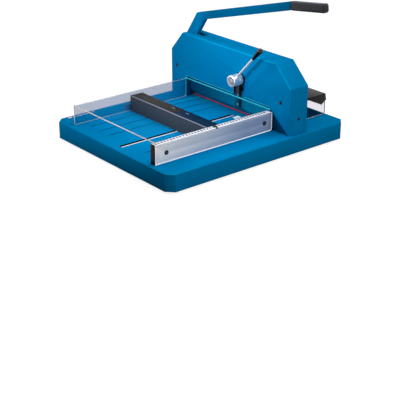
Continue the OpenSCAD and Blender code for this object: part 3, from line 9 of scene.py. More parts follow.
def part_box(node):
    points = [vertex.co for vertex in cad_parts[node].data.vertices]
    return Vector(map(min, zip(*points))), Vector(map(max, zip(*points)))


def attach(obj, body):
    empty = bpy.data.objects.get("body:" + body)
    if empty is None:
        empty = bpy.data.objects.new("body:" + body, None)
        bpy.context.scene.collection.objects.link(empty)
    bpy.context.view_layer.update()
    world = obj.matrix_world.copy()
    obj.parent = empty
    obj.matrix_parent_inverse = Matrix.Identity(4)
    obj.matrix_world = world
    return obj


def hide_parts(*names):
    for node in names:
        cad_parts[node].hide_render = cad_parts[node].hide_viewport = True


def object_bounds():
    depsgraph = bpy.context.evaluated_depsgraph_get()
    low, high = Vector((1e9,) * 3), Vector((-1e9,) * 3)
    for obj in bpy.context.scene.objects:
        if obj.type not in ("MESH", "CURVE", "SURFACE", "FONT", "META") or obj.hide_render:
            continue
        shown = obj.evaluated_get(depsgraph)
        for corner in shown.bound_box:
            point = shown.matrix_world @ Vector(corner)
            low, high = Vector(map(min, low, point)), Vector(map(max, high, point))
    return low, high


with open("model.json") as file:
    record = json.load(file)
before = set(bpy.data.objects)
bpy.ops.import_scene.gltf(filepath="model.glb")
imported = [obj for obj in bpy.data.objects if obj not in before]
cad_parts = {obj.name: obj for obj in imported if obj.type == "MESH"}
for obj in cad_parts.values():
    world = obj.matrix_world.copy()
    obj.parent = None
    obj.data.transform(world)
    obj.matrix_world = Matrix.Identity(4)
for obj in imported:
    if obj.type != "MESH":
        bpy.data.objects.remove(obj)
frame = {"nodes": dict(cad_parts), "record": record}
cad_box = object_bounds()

MM = 0.001
NODES = frame["nodes"]
BODY_OF = {
    node: body
    for body, names in frame["record"]["behaviour"]["bodies"].items()
    for node in names
}


# Camera, solved from the photograph's straight edges
CAMERA_PLACE = (2.5226, -2.0704, 1.2479)
CAMERA_TURN = math.radians(50.647)
CAMERA_PITCH = math.radians(24.474)
CAMERA_LENS = 92.35
CAMERA_SENSOR = 36
CAMERA_CLIP = (0.05, 50)

cam_data = bpy.data.cameras.new("camera")
cam_data.lens = CAMERA_LENS
cam_data.sensor_width = CAMERA_SENSOR
cam_data.clip_start, cam_data.clip_end = CAMERA_CLIP
cam = bpy.data.objects.new("camera", cam_data)
cam.location = CAMERA_PLACE
cam.rotation_mode = "QUATERNION"
cam.rotation_quaternion = Vector((
    -math.sin(CAMERA_TURN) * math.cos(CAMERA_PITCH),
    math.cos(CAMERA_TURN) * math.cos(CAMERA_PITCH),
    -math.sin(CAMERA_PITCH),
)).to_track_quat("-Z", "Y")
bpy.context.scene.collection.objects.link(cam)
bpy.context.scene.camera = cam
bpy.context.scene.view_settings.view_transform = "Standard"


# Shader parts
def tint(color, share):
    """The colour, made lighter or darker by a share."""
    return tuple(min(1.0, c * share) for c in color)


def mix_shader(tree, share, a, b):
    """A node that mixes two shader nodes. share is a number or another node's output."""
    mixer = tree.nodes.new("ShaderNodeMixShader")
    if isinstance(share, float):
        mixer.inputs["Fac"].default_value = share
    else:
        tree.links.new(share, mixer.inputs["Fac"])
    tree.links.new(a.outputs[0], mixer.inputs[1])
    tree.links.new(b.outputs[0], mixer.inputs[2])
    return mixer


class Shader:
    """A material's node tree with short calls for the nodes that the finishes share."""

    def __init__(self, name):
        self.mat = bpy.data.materials.new(name)
        self.mat.use_nodes = True
        self.nodes = self.mat.node_tree.nodes
        self.links = self.mat.node_tree.links
        self.base = self.nodes["Principled BSDF"]

    def place(self, scale=(1, 1, 1)):
        """Object coordinates in metres. Every piece's object sits at the origin."""
        tex = self.nodes.new("ShaderNodeTexCoord")
        mapping = self.nodes.new("ShaderNodeMapping")
        mapping.inputs["Scale"].default_value = scale
        self.links.new(tex.outputs["Object"], mapping.inputs["Vector"])
        return mapping.outputs["Vector"]

    def noise(self, vector, scale, detail=3.0, roughness=0.55):
        tex = self.nodes.new("ShaderNodeTexNoise")
        tex.inputs["Scale"].default_value = scale
        tex.inputs["Detail"].default_value = detail
        tex.inputs["Roughness"].default_value = roughness
        self.links.new(vector, tex.inputs["Vector"])
        return tex.outputs["Fac"]

    def ramp(self, fac, low, high, at=(0.3, 0.7)):
        r = self.nodes.new("ShaderNodeValToRGB")
        for element, place, color in zip(r.color_ramp.elements, at, (low, high)):
            element.position = place
            element.color = (*color, 1)
        self.links.new(fac, r.inputs["Fac"])
        return r.outputs["Color"]

    def shades(self, fac, color, vary):
        """The colour, from a little darker to a little lighter."""
        return self.ramp(fac, tint(color, 1 - vary), tint(color, 1 + vary))

    def spread(self, fac, low, high, start=0.25, end=0.75):
        """Maps start to end onto low to high, and holds low and high outside."""
        m = self.nodes.new("ShaderNodeMapRange")
        for key, value in (("From Min", start), ("From Max", end), ("To Min", low), ("To Max", high)):
            m.inputs[key].default_value = value
        self.links.new(fac, m.inputs["Value"])
        return m.outputs["Result"]

    def math(self, operation, a, b):
        m = self.nodes.new("ShaderNodeMath")
        m.operation = operation
        for socket, value in zip(m.inputs, (a, b)):
            if isinstance(value, (int, float)):
                socket.default_value = value
            else:
                self.links.new(value, socket)
        return m.outputs["Value"]

    def mix_color(self, fac, a, b):
        m = self.nodes.new("ShaderNodeMix")
        m.data_type = "RGBA"
        self.links.new(fac, m.inputs[0])
        for socket, value in ((m.inputs[6], a), (m.inputs[7], b)):
            if isinstance(value, tuple):
                socket.default_value = (*value, 1)
            else:
                self.links.new(value, socket)
        return m.outputs[2]

    def along(self, axis):
        """One of the object coordinates, in metres."""
        tex = self.nodes.new("ShaderNodeTexCoord")
        split = self.nodes.new("ShaderNodeSeparateXYZ")
        self.links.new(tex.outputs["Object"], split.inputs["Vector"])
        return split.outputs[axis]

    def fade(self, axis, start, end):
        """0 before start and 1 after end along one of the object's axes, in metres."""
        return self.spread(self.along(axis), 0.0, 1.0, start, end)

    def facing(self, direction, start, end):
        """1 where the surface faces the direction, 0 where the dot product is under start."""
        tex = self.nodes.new("ShaderNodeTexCoord")
        dot = self.nodes.new("ShaderNodeVectorMath")
        dot.operation = "DOT_PRODUCT"
        self.links.new(tex.outputs["Normal"], dot.inputs[0])
        dot.inputs[1].default_value = Vector(direction).normalized()
        return self.spread(dot.outputs["Value"], 0.0, 1.0, start, end)

    def bump(self, height, strength, distance):
        b = self.nodes.new("ShaderNodeBump")
        b.inputs["Strength"].default_value = strength
        b.inputs["Distance"].default_value = distance
        self.links.new(height, b.inputs["Height"])
        self.links.new(b.outputs["Normal"], self.base.inputs["Normal"])

    def surface(self, tone, rough, specular=None):
        """The finished material. Without specular the shader keeps its own level."""
        self.links.new(tone, self.base.inputs["Base Color"])
        self.links.new(rough, self.base.inputs["Roughness"])
        if specular is not None:
            self.base.inputs["Specular IOR Level"].default_value = specular
        return self.mat


# Finishes. Plain numbers in them are noise scales and details, and shares of colour or light.
CLOUD = 7
FINE_GRAIN = 900
METAL_LINES = 2600
METAL_CLOUD = 14
SHEET_CLOUD = 6
SHEET_SMEAR = 240
GLANCE_POWER = 5.0
PAINT_BUMP = 0.2 * MM
METAL_BUMP = 0.05 * MM
# the dot products over which a face takes its painted edge highlight
HIGHLIGHT_FACING = (0.955, 0.985)
GUIDE_SHADE_FADE = (-330 * MM, 0.0)
GAUGE_REFLECTION_FADE = (-5 * MM, 30 * MM)
RACK_SHADE_SPAN = (129 * MM, 133 * MM)
LEVER_SHADE_FADE = (-200 * MM, -140 * MM)
BEAM_SHADE_FADE = (-220 * MM, 160 * MM)

BLUE = (0.0, 0.205, 0.47)
# the housing's blue, a little darker on the table: painted shade
TABLE_BLUE_SHADED = (0.0, 0.193, 0.44)
# a lighter blue, painted as a highlight on rolled edges that face the directions below
EDGE_HIGHLIGHT = (0.0, 0.4, 0.7)
TABLE_HIGHLIGHT_DIRECTIONS = ((0.5, -0.5, 0.707), (0.35, -0.35, 0.87))
HOUSING_HIGHLIGHT_DIRECTIONS = ((0, -0.707, 0.707), (0.495, -0.707, 0.505), (-0.53, -0.707, 0.47))
GRIP_HIGHLIGHT_DIRECTIONS = ((-0.1, 0, 1),)
ALL_WAYS = (1, 1, 1)
LONG_Y = (1, 0.02, 1)
LONG_X = (0.02, 1, 1)
LONG_Z = (1, 1, 0.02)


def paint(name, color, rough=0.45, grain=FINE_GRAIN, strength=0.1, vary=0.04, specular=0.0,
          edge=None, edges=()):
    """Powder coat or moulded plastic. Faces that face one of the edges directions, such as rolled
    edges, take the edge colour as a painted highlight.
    """
    s = Shader(name)
    tone = s.shades(s.noise(s.place(), scale=CLOUD, detail=4), color, vary)
    for direction in edges:
        tone = s.mix_color(s.facing(direction, *HIGHLIGHT_FACING), tone, edge)
    fine = s.noise(s.place(), scale=grain, detail=2)
    s.bump(fine, strength, PAINT_BUMP)
    return s.surface(tone, s.spread(fine, rough - 0.05, rough + 0.07), specular)


def brushed(name, color, along=ALL_WAYS, rough=0.32, metallic=1.0, strength=0.12, vary=0.06,
            far=None):
    """Metal with fine drawn lines. far gives a darker, bluer colour towards the back end of a long
    piece: painted shade.
    """
    s = Shader(name)
    lines = s.noise(s.place(along), scale=METAL_LINES, detail=3, roughness=0.7)
    cloud = s.noise(s.place(), scale=METAL_CLOUD, detail=3)
    mix = s.math("ADD", s.math("MULTIPLY", lines, 0.65), s.math("MULTIPLY", cloud, 0.35))
    tone = s.shades(mix, color, vary)
    if far:
        tone = s.mix_color(s.fade("Y", *GUIDE_SHADE_FADE), tone, s.shades(mix, far, vary))
    s.bump(lines, strength, METAL_BUMP)
    s.base.inputs["Metallic"].default_value = metallic
    return s.surface(tone, s.spread(lines, rough - 0.07, rough + 0.1))


def clear_sheet(name, color, shine=0.2, rough=0.03, haze=None, haze_share=0.0):
    """Clear acrylic: light passes with a tint, and the surface mirrors more at a low angle.

    The last two arguments paint a sheen, a diffuse colour layer and its share: on the guard's wall a
    painted reflection of the blue paint, on the clip a painted glint.
    """
    s = Shader(name)
    s.nodes.remove(s.base)
    cloud = s.noise(s.place(), scale=SHEET_CLOUD, detail=2)
    through = s.nodes.new("ShaderNodeBsdfTransparent")
    s.links.new(s.ramp(cloud, tint(color, 0.985), color), through.inputs["Color"])
    gloss = s.nodes.new("ShaderNodeBsdfGlossy")
    smear = s.noise(s.place(), scale=SHEET_SMEAR, detail=3)
    s.links.new(s.spread(smear, rough, rough + 0.05), gloss.inputs["Roughness"])
    weight = s.nodes.new("ShaderNodeLayerWeight")
    weight.inputs["Blend"].default_value = 0.5
    glance = s.math("MULTIPLY", s.math("POWER", weight.outputs["Facing"], GLANCE_POWER), shine)
    sheet = mix_shader(s, glance, through, gloss)
    if haze:
        glow = s.nodes.new("ShaderNodeBsdfDiffuse")
        s.links.new(s.ramp(cloud, tint(haze, 0.96), haze), glow.inputs["Color"])
        sheet = mix_shader(s, haze_share, sheet, glow)
    s.links.new(sheet.outputs[0], s.nodes["Material Output"].inputs["Surface"])
    return s.mat


def gauge_top(name):
    """The gauge's glossy top: brown-grey that turns navy towards the side guide, the navy a painted
    reflection of the blue paint around it.
    """
    s = Shader(name)
    fine = s.noise(s.place(), scale=500, detail=3)
    warm = s.ramp(fine, (0.013, 0.013, 0.013), (0.020, 0.019, 0.019))
    blue_reflection = s.ramp(fine, (0.001, 0.013, 0.036), (0.002, 0.018, 0.046))
    tone = s.mix_color(s.fade("X", *GAUGE_REFLECTION_FADE), warm, blue_reflection)
    return s.surface(tone, s.spread(fine, 0.4, 0.5), specular=0.03)


def rack_metal_shaded_foot(name):
    """Dark steel above. The foot, where the rack is screwed to the beam, is painted the beam's dark
    teal in shade: painted shade.
    """
    s = Shader(name)
    lines = s.noise(s.place(LONG_Z), scale=METAL_LINES, detail=3, roughness=0.7)
    steel = s.ramp(lines, (0.04, 0.044, 0.06), (0.05, 0.055, 0.072))
    foot = s.ramp(lines, (0, 0.085, 0.14), (0, 0.1, 0.16))
    tone = s.mix_color(s.spread(s.along("Z"), 1.0, 0.0, *RACK_SHADE_SPAN), steel, foot)
    return s.surface(tone, s.spread(lines, 0.4, 0.5), specular=0.1)


def bright_edge(name):
    """The guide's polished rim, painted as a highlight along the whole edge: it glows a little."""
    s = Shader(name)
    lines = s.noise(s.place(LONG_Y), scale=1500, detail=3)
    tone = s.ramp(lines, (0.96, 0.88, 0.9), (1.0, 0.95, 0.96))
    s.links.new(tone, s.base.inputs["Emission Color"])
    s.base.inputs["Emission Strength"].default_value = 0.35
    return s.surface(tone, s.spread(lines, 0.3, 0.4))


def lever_paint(name):
    """The lever's paint: as the housing's on the neck, darker along the arm as painted shade."""
    s = Shader(name)
    cloud = s.noise(s.place(), scale=CLOUD, detail=4)
    neck = s.shades(cloud, BLUE, 0.04)
    arm = s.ramp(cloud, tint(BLUE, 0.58), tint(BLUE, 0.64))
    tone = s.mix_color(s.fade("X", *LEVER_SHADE_FADE), neck, arm)
    fine = s.noise(s.place(), scale=FINE_GRAIN, detail=2)
    s.bump(fine, 0.1, PAINT_BUMP)
    return s.surface(tone, s.spread(fine, 0.4, 0.52), specular=0.0)


def beam_paint(name):
    """The press beam's paint with painted shade: dark at the left end as in the housing's shade,
    lighter to the right.
    """
    s = Shader(name)
    cloud = s.noise(s.place(), scale=CLOUD, detail=4)
    dark = s.ramp(cloud, (0.0, 0.045, 0.125), (0.0, 0.05, 0.14))
    light = s.ramp(cloud, (0.0, 0.21, 0.36), (0.0, 0.24, 0.4))
    tone = s.mix_color(s.fade("X", *BEAM_SHADE_FADE), dark, light)
    fine = s.noise(s.place(), scale=FINE_GRAIN, detail=2)
    return s.surface(tone, s.spread(fine, 0.4, 0.52), specular=0.02)


# The materials by name; the calls for those not named after their slot pass the slot's name too
MATERIALS = {}


def finish(name, make, *values, slot=None, **more):
    """Makes a material and keeps it under its name. slot is not used."""
    MATERIALS[name] = make(name, *values, **more)


finish("blue_paint", paint, BLUE)
finish("lever_paint", lever_paint, slot="blue_paint")
finish("table_paint", paint, TABLE_BLUE_SHADED, edge=EDGE_HIGHLIGHT, edges=TABLE_HIGHLIGHT_DIRECTIONS, slot="blue_paint")
finish("housing_paint", paint, BLUE, edge=EDGE_HIGHLIGHT, edges=HOUSING_HIGHLIGHT_DIRECTIONS, slot="blue_paint")
finish("groove_shade", paint, (0.0, 0.004, 0.012), slot="blue_paint")
# light cyan, painted as the highlight on the housing's sheet edges
finish("cut_edge", paint, (0.05, 0.6, 0.8), slot="blue_paint")
finish("dark_paint", paint, (0.0, 0.06, 0.15), rough=0.5)
finish("beam_paint", beam_paint, slot="dark_paint")
# the guide's face and its band darken towards their back end: painted shade
finish("anodised", brushed, (0.99, 0.98, 1.0), along=LONG_Y, rough=0.5, metallic=0.0,
       strength=0.15, vary=0.05, far=(0.30, 0.375, 0.53), slot="aluminium")
finish("rule_aluminium", brushed, (0.66, 0.66, 0.72), along=LONG_Y, rough=0.5, metallic=0.0,
       strength=0.1, vary=0.04, slot="aluminium")
finish("bright_edge", bright_edge, slot="aluminium")
finish("band_aluminium", brushed, (1.0, 0.99, 1.0), along=LONG_Y, rough=0.5, metallic=0.0,
       strength=0.15, vary=0.05, far=(0.42, 0.5, 0.66), slot="aluminium")
finish("rail_aluminium", brushed, (0.95, 0.94, 0.94), along=LONG_Y, rough=0.35, metallic=0.1,
       strength=0.1, vary=0.03, slot="aluminium")
finish("steel_x", brushed, (0.56, 0.57, 0.6), along=LONG_X, rough=0.35, slot="steel")
finish("steel_z", brushed, (0.56, 0.57, 0.6), along=LONG_Z, rough=0.3, slot="steel")
finish("steel", brushed, (0.55, 0.56, 0.58), along=ALL_WAYS, rough=0.36)
finish("blade_steel", brushed, (0.78, 0.79, 0.82), along=LONG_Z, rough=0.22)
finish("black_steel", paint, (0.008, 0.008, 0.009), rough=0.35, grain=1500, strength=0.2, vary=0.2,
       specular=0.3)
finish("rack_steel", rack_metal_shaded_foot, slot="black_steel")
finish("brown_steel", paint, (0.008, 0.005, 0.004), rough=0.4, grain=1500, strength=0.2, vary=0.3,
       specular=0.08)
finish("brown_centre", paint, (0.16, 0.08, 0.05), rough=0.4, grain=1500, strength=0.2, vary=0.3,
       specular=0.1, slot="brown_steel")
finish("knob_black", paint, (0.003, 0.003, 0.004), rough=0.08, grain=300, strength=0.01, vary=0.1,
       specular=0.3, slot="black_plastic")
finish("ring_shade", brushed, (0.3, 0.36, 0.5), along=ALL_WAYS, rough=0.25, metallic=0.5,
       strength=0.04, vary=0.04, slot="chrome")
finish("chrome", brushed, (0.96, 0.97, 1.0), along=ALL_WAYS, rough=0.12, metallic=0.7,
       strength=0.04, vary=0.04)
finish("cast_iron", paint, (0.09, 0.092, 0.1), rough=0.55, grain=500, strength=0.35, vary=0.2,
       specular=0.3)
finish("bronze", brushed, (0.55, 0.36, 0.16), along=ALL_WAYS, rough=0.38)
finish("rubber", paint, (0.012, 0.012, 0.012), rough=0.8, grain=700, strength=0.3, vary=0.2,
       specular=0.2)
finish("red_plastic", paint, (0.75, 0.005, 0.05), rough=0.45, grain=600, strength=0.15, vary=0.08,
       specular=0.05)
finish("pale_plastic", paint, (0.86, 0.74, 0.77), rough=0.45, grain=600, strength=0.1, vary=0.03,
       specular=0.2)
finish("black_plastic", paint, (0.006, 0.005, 0.006), rough=0.38, grain=800, strength=0.2,
       vary=0.15, specular=0.08)
# the grip's top takes a lighter grey as a painted highlight
finish("grip_plastic", paint, (0.03, 0.031, 0.037), rough=0.42, grain=800, strength=0.2, vary=0.15,
       specular=0.08, edge=(0.2, 0.2, 0.26), edges=GRIP_HIGHLIGHT_DIRECTIONS, slot="black_plastic")
finish("gloss_black", paint, (0.006, 0.006, 0.007), rough=0.16, grain=300, strength=0.02, vary=0.1,
       specular=0.12, slot="black_plastic")
finish("brown_plastic", paint, (0.05, 0.022, 0.016), rough=0.5, grain=700, strength=0.2, vary=0.2,
       specular=0.2)
finish("slate", paint, (0.038, 0.051, 0.068), rough=0.5, grain=FINE_GRAIN, strength=0.1, vary=0.06,
       specular=0.1, slot="slate_paint")
finish("gauge_top", gauge_top, slot="slate_paint")
# the wall's blue sheen is a painted reflection, the clip's pale sheen a painted glint
finish("clear_wall", clear_sheet, (0.84, 0.785, 0.725), shine=0.03, rough=0.03,
       haze=(0.0, 0.43, 1.0), haze_share=0.25, slot="clear_plastic")
finish("clear_rear", clear_sheet, (0.86, 0.84, 0.87), shine=0.1, slot="clear_plastic")
finish("clear_top", clear_sheet, (0.985, 0.99, 0.995), shine=0.02, slot="clear_plastic")
finish("clear_clip", clear_sheet, (0.9, 0.97, 1.0), shine=0.1, rough=0.03, haze=(0.75, 0.95, 1.0),
       haze_share=0.5, slot="clear_plastic")
# the guards' sawn edges: a frosted edge with a painted highlight; at the foot a painted reflection of
# the blue table, at the back a painted cyan highlight
finish("clear_edge", paint, (0.9, 0.82, 0.82), rough=0.25, grain=500, strength=0.05, vary=0.04,
       specular=0.3, slot="clear_plastic")
finish("clear_foot", paint, (0.6, 0.72, 0.78), rough=0.25, grain=500, strength=0.05, vary=0.04,
       specular=0.1, slot="clear_plastic")
finish("clear_back", paint, (0.05, 0.62, 0.8), rough=0.25, grain=500, strength=0.05, vary=0.04,
       specular=0.1, slot="clear_plastic")
finish("pale_edge", paint, (0.2, 0.21, 0.26), rough=0.4, grain=500, strength=0.05, vary=0.04,
       specular=0.1, slot="slate_paint")
finish("line_shade", paint, (0.3, 0.33, 0.42), rough=0.5, grain=500, strength=0.05, vary=0.04,
       specular=0.1, slot="aluminium")
finish("tick_ink", paint, (0.02, 0.02, 0.03), rough=0.6, grain=500, strength=0.05, vary=0.1,
       specular=0.1, slot="black_plastic")
finish("strip_ink", paint, (0.12, 0.06, 0.06), rough=0.6, grain=500, strength=0.05, vary=0.1,
       specular=0.1, slot="black_plastic")
finish("pale_ink", paint, (0.5, 0.52, 0.58), rough=0.6, grain=500, strength=0.05, vary=0.1,
       specular=0.1, slot="pale_plastic")

NODE_MATERIAL = {
    "table_base": "table_paint", "gauge_rail": "rail_aluminium", "cutting_stick": "red_plastic",
    "rubber_feet": "rubber", "foot_screws": "steel", "side_guide": "anodised",
    "side_guide_bar": "steel", "side_guide_cap": "black_plastic", "side_guide_screws": "black_steel",
    "scale_strip": "pale_plastic", "scale_strip_screw": "black_steel", "guard_stop": "brown_plastic",
    "front_cover": "housing_paint", "rear_cover": "blue_paint", "cover_screws": "brown_steel",
    "cover_standoffs": "steel", "inner_cheeks": "dark_paint", "rear_frame_plate": "steel_x",
    "front_frame_plate": "steel_x", "pivot_plate": "steel_x", "frame_spacers": "steel",
    "frame_bolts": "steel", "frame_feet": "steel", "guide_rollers": "bronze",
    "lever_pivot_pin": "steel", "blade_lever": "lever_paint", "lever_bush": "bronze",
    "lever_grip": "grip_plastic", "drive_pin": "steel", "drive_roller": "bronze",
    "blade_carrier": "cast_iron", "blade": "blade_steel", "blade_bolts": "steel",
    "press_beam": "beam_paint", "press_rack": "rack_steel", "rack_screws": "steel",
    "press_guide_rods": "steel_z", "guide_rod_blocks": "steel", "clamp_shaft": "steel",
    "clamp_hub": "chrome", "clamp_collar": "gloss_black", "clamp_rod": "chrome",
    "clamp_knob": "gloss_black", "clamp_bearing": "cast_iron", "gauge_bar": "slate",
    "gauge_end_caps": "black_plastic", "gauge_slider": "rail_aluminium", "gauge_screws": "steel",
    "front_guard": "clear_wall", "guard_clip": "clear_clip", "guard_hinge_arms": "clear_top",
    "guard_hinge_brackets": "steel", "guard_hinge_pins": "steel", "rear_guard": "clear_rear",
    "rear_guard_handle": "gloss_black", "rear_hinge_leaves": "black_steel",
    "rear_hinge_brackets": "black_steel", "rear_hinge_pins": "steel",
}
for name, obj in NODES.items():
    obj.data.materials.clear()
    obj.data.materials.append(MATERIALS[NODE_MATERIAL[name]])

# Mesh tools
MERGE = 1e-6
COARSE_TURN = 24
# the angles, in radians, from which an edge counts: to stay, and to be rounded
FLAT_ANGLE = 0.002
BLOCK_ANGLE = 0.6
CREASE_ANGLE = 0.62


def prism(points, axis, lo, hi, bevel=0.0, segments=2):
    """An extruded outline. points hold the two other coordinates, in X, Y, Z order."""
    bm = bmesh.new()
    place = {
        "x": lambda p, t: (t, p[0], p[1]),
        "y": lambda p, t: (p[0], t, p[1]),
        "z": lambda p, t: (p[0], p[1], t),
    }[axis]
    a = [bm.verts.new(place(p, lo)) for p in points]
    b = [bm.verts.new(place(p, hi)) for p in points]
    bm.faces.new(a)
    bm.faces.new(b[::-1])
    n = len(points)
    for i in range(n):
        bm.faces.new((a[i], b[i], b[(i + 1) % n], a[(i + 1) % n]))
    bmesh.ops.recalc_face_normals(bm, faces=bm.faces)
    if bevel:
        soften(bm, bevel, segments)
    return bm


def soften(bm, width, segments=2, angle=BLOCK_ANGLE):
    """Rounds the edges that are sharper than the angle."""
    edges = [e for e in bm.edges if len(e.link_faces) == 2 and e.calc_face_angle(0) > angle]
    bmesh.ops.bevel(bm, geom=edges, offset=width, segments=segments, profile=0.5, affect="EDGES",
                    clamp_overlap=True)


def block(lo, hi, bevel=0.0, segments=2):
    """A box from its lowest to its highest corner."""
    pts = [(lo[0], lo[1]), (hi[0], lo[1]), (hi[0], hi[1]), (lo[0], hi[1])]
    return prism(pts, "z", lo[2], hi[2], bevel, segments)


def joined(bms):
    """One mesh of several, which are used up."""
    whole = bmesh.new()
    for bm in bms:
        part = bpy.data.meshes.new("part")
        bm.to_mesh(part)
        bm.free()
        whole.from_mesh(part)
        bpy.data.meshes.remove(part)
    return whole


def add(name, bms, body, materials, replaces=(), smooth=30):
    """Makes one piece of one or several meshes and hangs it on its body. smooth is in degrees."""
    whole = joined(bms) if isinstance(bms, list) else bms
    mesh = bpy.data.meshes.new(name)
    for f in whole.faces:
        f.smooth = True
    whole.to_mesh(mesh)
    whole.free()
    for m in materials:
        mesh.materials.append(MATERIALS[m])
    mesh.set_sharp_from_angle(angle=math.radians(smooth))
    obj = bpy.data.objects.new(name, mesh)
    bpy.context.scene.collection.objects.link(obj)
    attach(obj, body)
    if replaces:
        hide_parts(*replaces)


def paint_faces(bm, index, test):
    """Gives the faces that pass the test the piece's material of this index."""
    for f in bm.faces:
        if test(f):
            f.material_index = index


def lathe(profile, origin, axis, segments=64):
    """A body of revolution: profile holds (radius, place along axis)."""
    bm = bmesh.new()
    segments = segments
    turn = Vector((0, 0, 1)).rotation_difference(Vector(axis)).to_matrix().to_4x4()
    rings = []
    for r, t in profile:
        if r < MERGE:
            rings.append([bm.verts.new((0, 0, t))])
        else:
            angles = [2 * math.pi * k / segments for k in range(segments)]
            rings.append([bm.verts.new((r * math.cos(a), r * math.sin(a), t)) for a in angles])
    for a, b in zip(rings, rings[1:]):
        for k in range(segments):
            j = (k + 1) % segments
            corner = []
            for v in (a[k % len(a)], a[j % len(a)], b[j % len(b)], b[k % len(b)]):
                if v not in corner:
                    corner.append(v)
            if len(corner) > 2:
                bm.faces.new(corner)
    bmesh.ops.transform(bm, matrix=Matrix.Translation(origin) @ turn, verts=bm.verts)
    bmesh.ops.recalc_face_normals(bm, faces=bm.faces)
    return bm


def arc(cy, cz, r, start, end, steps=5):
    """Points on an arc, start to end in degrees."""
    angles = [math.radians(start + (end - start) * i / steps) for i in range(steps + 1)]
    return [(cy + r * math.cos(a), cz + r * math.sin(a)) for a in angles]


def box_of(node):
    """The lowest and the highest corner of a node at rest."""
    lo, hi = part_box(node)
    return Vector(lo), Vector(hi)


# The share of its normal from which a face leans to a direction, faces it or is square to it
LEANING = 0.5
FACING = 0.9
SQUARE = 0.95


def up_face(f):
    return f.normal.z > FACING


def within(value, span):
    return span[0] < value < span[1]


# Marks lie a hair above the face that they are on and reach a hair into it
SUNK = 0.01 * MM
MARK_PROUD = 0.05 * MM


def mark(x0, x1, y0, y1, z, proud=MARK_PROUD):
    """A thin flat mark on a face that looks up."""
    return block((x0, y0, z - SUNK), (x1, y1, z + proud))


# Painted and moulded pieces: the solids' own forms with broken edges
EDGE_WIDTH = {
    "table_base": 0.25 * MM, "guard_clip": 0.5 * MM, "front_cover": 0.25 * MM,
    "rear_cover": 0.3 * MM, "blade_lever": 0.8 * MM, "press_beam": 0.3 * MM,
    "inner_cheeks": 0.2 * MM, "guard_stop": 0.5 * MM, "side_guide_cap": 0.5 * MM,
    "cutting_stick": 0.2 * MM, "scale_strip": 0.15 * MM, "rear_guard_handle": 1.2 * MM,
    "gauge_end_caps": 0.4 * MM, "press_rack": 0.2 * MM, "gauge_bar": 0.4 * MM,
    "side_guide": 0.3 * MM,
}
TABLE_TOP = 58 * MM
SKIN = 0.05 * MM
SLOT_X = (15 * MM, 40 * MM)
SLOT_Z = (45 * MM, TABLE_TOP - SKIN)
GROOVES_X = (-200 * MM, 180 * MM)
GROOVES_Y = (-330 * MM, 150 * MM)
GROOVES_Z = (50 * MM, TABLE_TOP - SKIN)
RAIL_FACE = 57 * MM
GAUGE_FACE = 110 * MM


def dressed(node, segments=2, extra=(), index=None, smooth=38):
    """The CAD node's own form with its sharp edges broken, as a new piece in its place."""
    bm = bmesh.new()
    bm.from_mesh(NODES[node].data)
    bmesh.ops.remove_doubles(bm, verts=bm.verts, dist=MERGE)
    bmesh.ops.dissolve_limit(bm, angle_limit=FLAT_ANGLE, verts=bm.verts, edges=bm.edges)
    if node in EDGE_WIDTH:
        soften(bm, EDGE_WIDTH[node], segments, CREASE_ANGLE)
    bm.normal_update()
    if index:
        for f in bm.faces:
            f.material_index = index(f)
    add(node + "_dressed", bm, BODY_OF[node], [NODE_MATERIAL[node], *extra], [node], smooth)


def table_index(f):
    """0 for paint, 1 for a face of a sight line, painted dark as shade, 2 for a side of the gauge's
    slot, painted black as shade.
    """
    c = f.calc_center_median()
    if abs(f.normal.x) > LEANING and within(c.x, SLOT_X) and within(c.z, SLOT_Z) and c.y < GROOVES_Y[1]:
        return 2
    in_groove = within(c.x, GROOVES_X) and within(c.y, GROOVES_Y) and within(c.z, GROOVES_Z)
    return 1 if in_groove and not within(c.x, SLOT_X) else 0


def rail_index(f):
    """0 for the rail's face, 1 for its grooves."""
    return 0 if up_face(f) and f.calc_center_median().z > RAIL_FACE else 1


def gauge_index(f):
    """1 for the glossy top, 2 for the bevel along the front edge, painted pale as a highlight."""
    if up_face(f) and f.calc_center_median().z > GAUGE_FACE:
        return 1
    return 2 if f.normal.y < -LEANING and f.normal.z > LEANING else 0


def clip_index(f):
    """1 for the broken edges, which take the sawn edge's painted highlight."""
    return 0 if max(abs(c) for c in f.normal) > SQUARE else 1


def guide_index(f):
    """0 for the right face, 1 for the ruled top and the rest."""
    return 0 if f.normal.x > LEANING else 1


dressed("table_base", segments=1, extra=("groove_shade", "black_plastic"), index=table_index)

# Table: a line of painted shade on both sides of each sight groove
GROOVE_PLACES = (-185 * MM, -132.1 * MM, -80.1 * MM, 116.9 * MM, 170.2 * MM)
GROOVE_HALF = 1 * MM
GROOVE_SHADE = 0.6 * MM
SHADE_Y = (-319 * MM, 121 * MM)
SHADE_PROUD = 0.03 * MM

shades = []
for x in GROOVE_PLACES:
    for side in (-1, 1):
        near, far = sorted((x + side * GROOVE_HALF, x + side * (GROOVE_HALF + GROOVE_SHADE)))
        shades.append(mark(near, far, *SHADE_Y, TABLE_TOP, SHADE_PROUD))
add("groove_edges", shades, "root", ["groove_shade"])

dressed("gauge_rail", extra=("black_plastic",), index=rail_index)
dressed("guard_clip", segments=1, extra=("clear_edge",), index=clip_index)
for node in ("front_cover", "rear_cover", "blade_lever", "press_beam", "inner_cheeks", "guard_stop",
             "side_guide_cap", "cutting_stick", "scale_strip"):
    dressed(node)
dressed("rear_guard_handle", segments=3, smooth=50)
dressed("gauge_end_caps")
dressed("press_rack")
dressed("gauge_bar", extra=("gauge_top", "pale_edge"), index=gauge_index)
dressed("side_guide", extra=("rule_aluminium",), index=guide_index)
dressed("lever_grip", smooth=60)

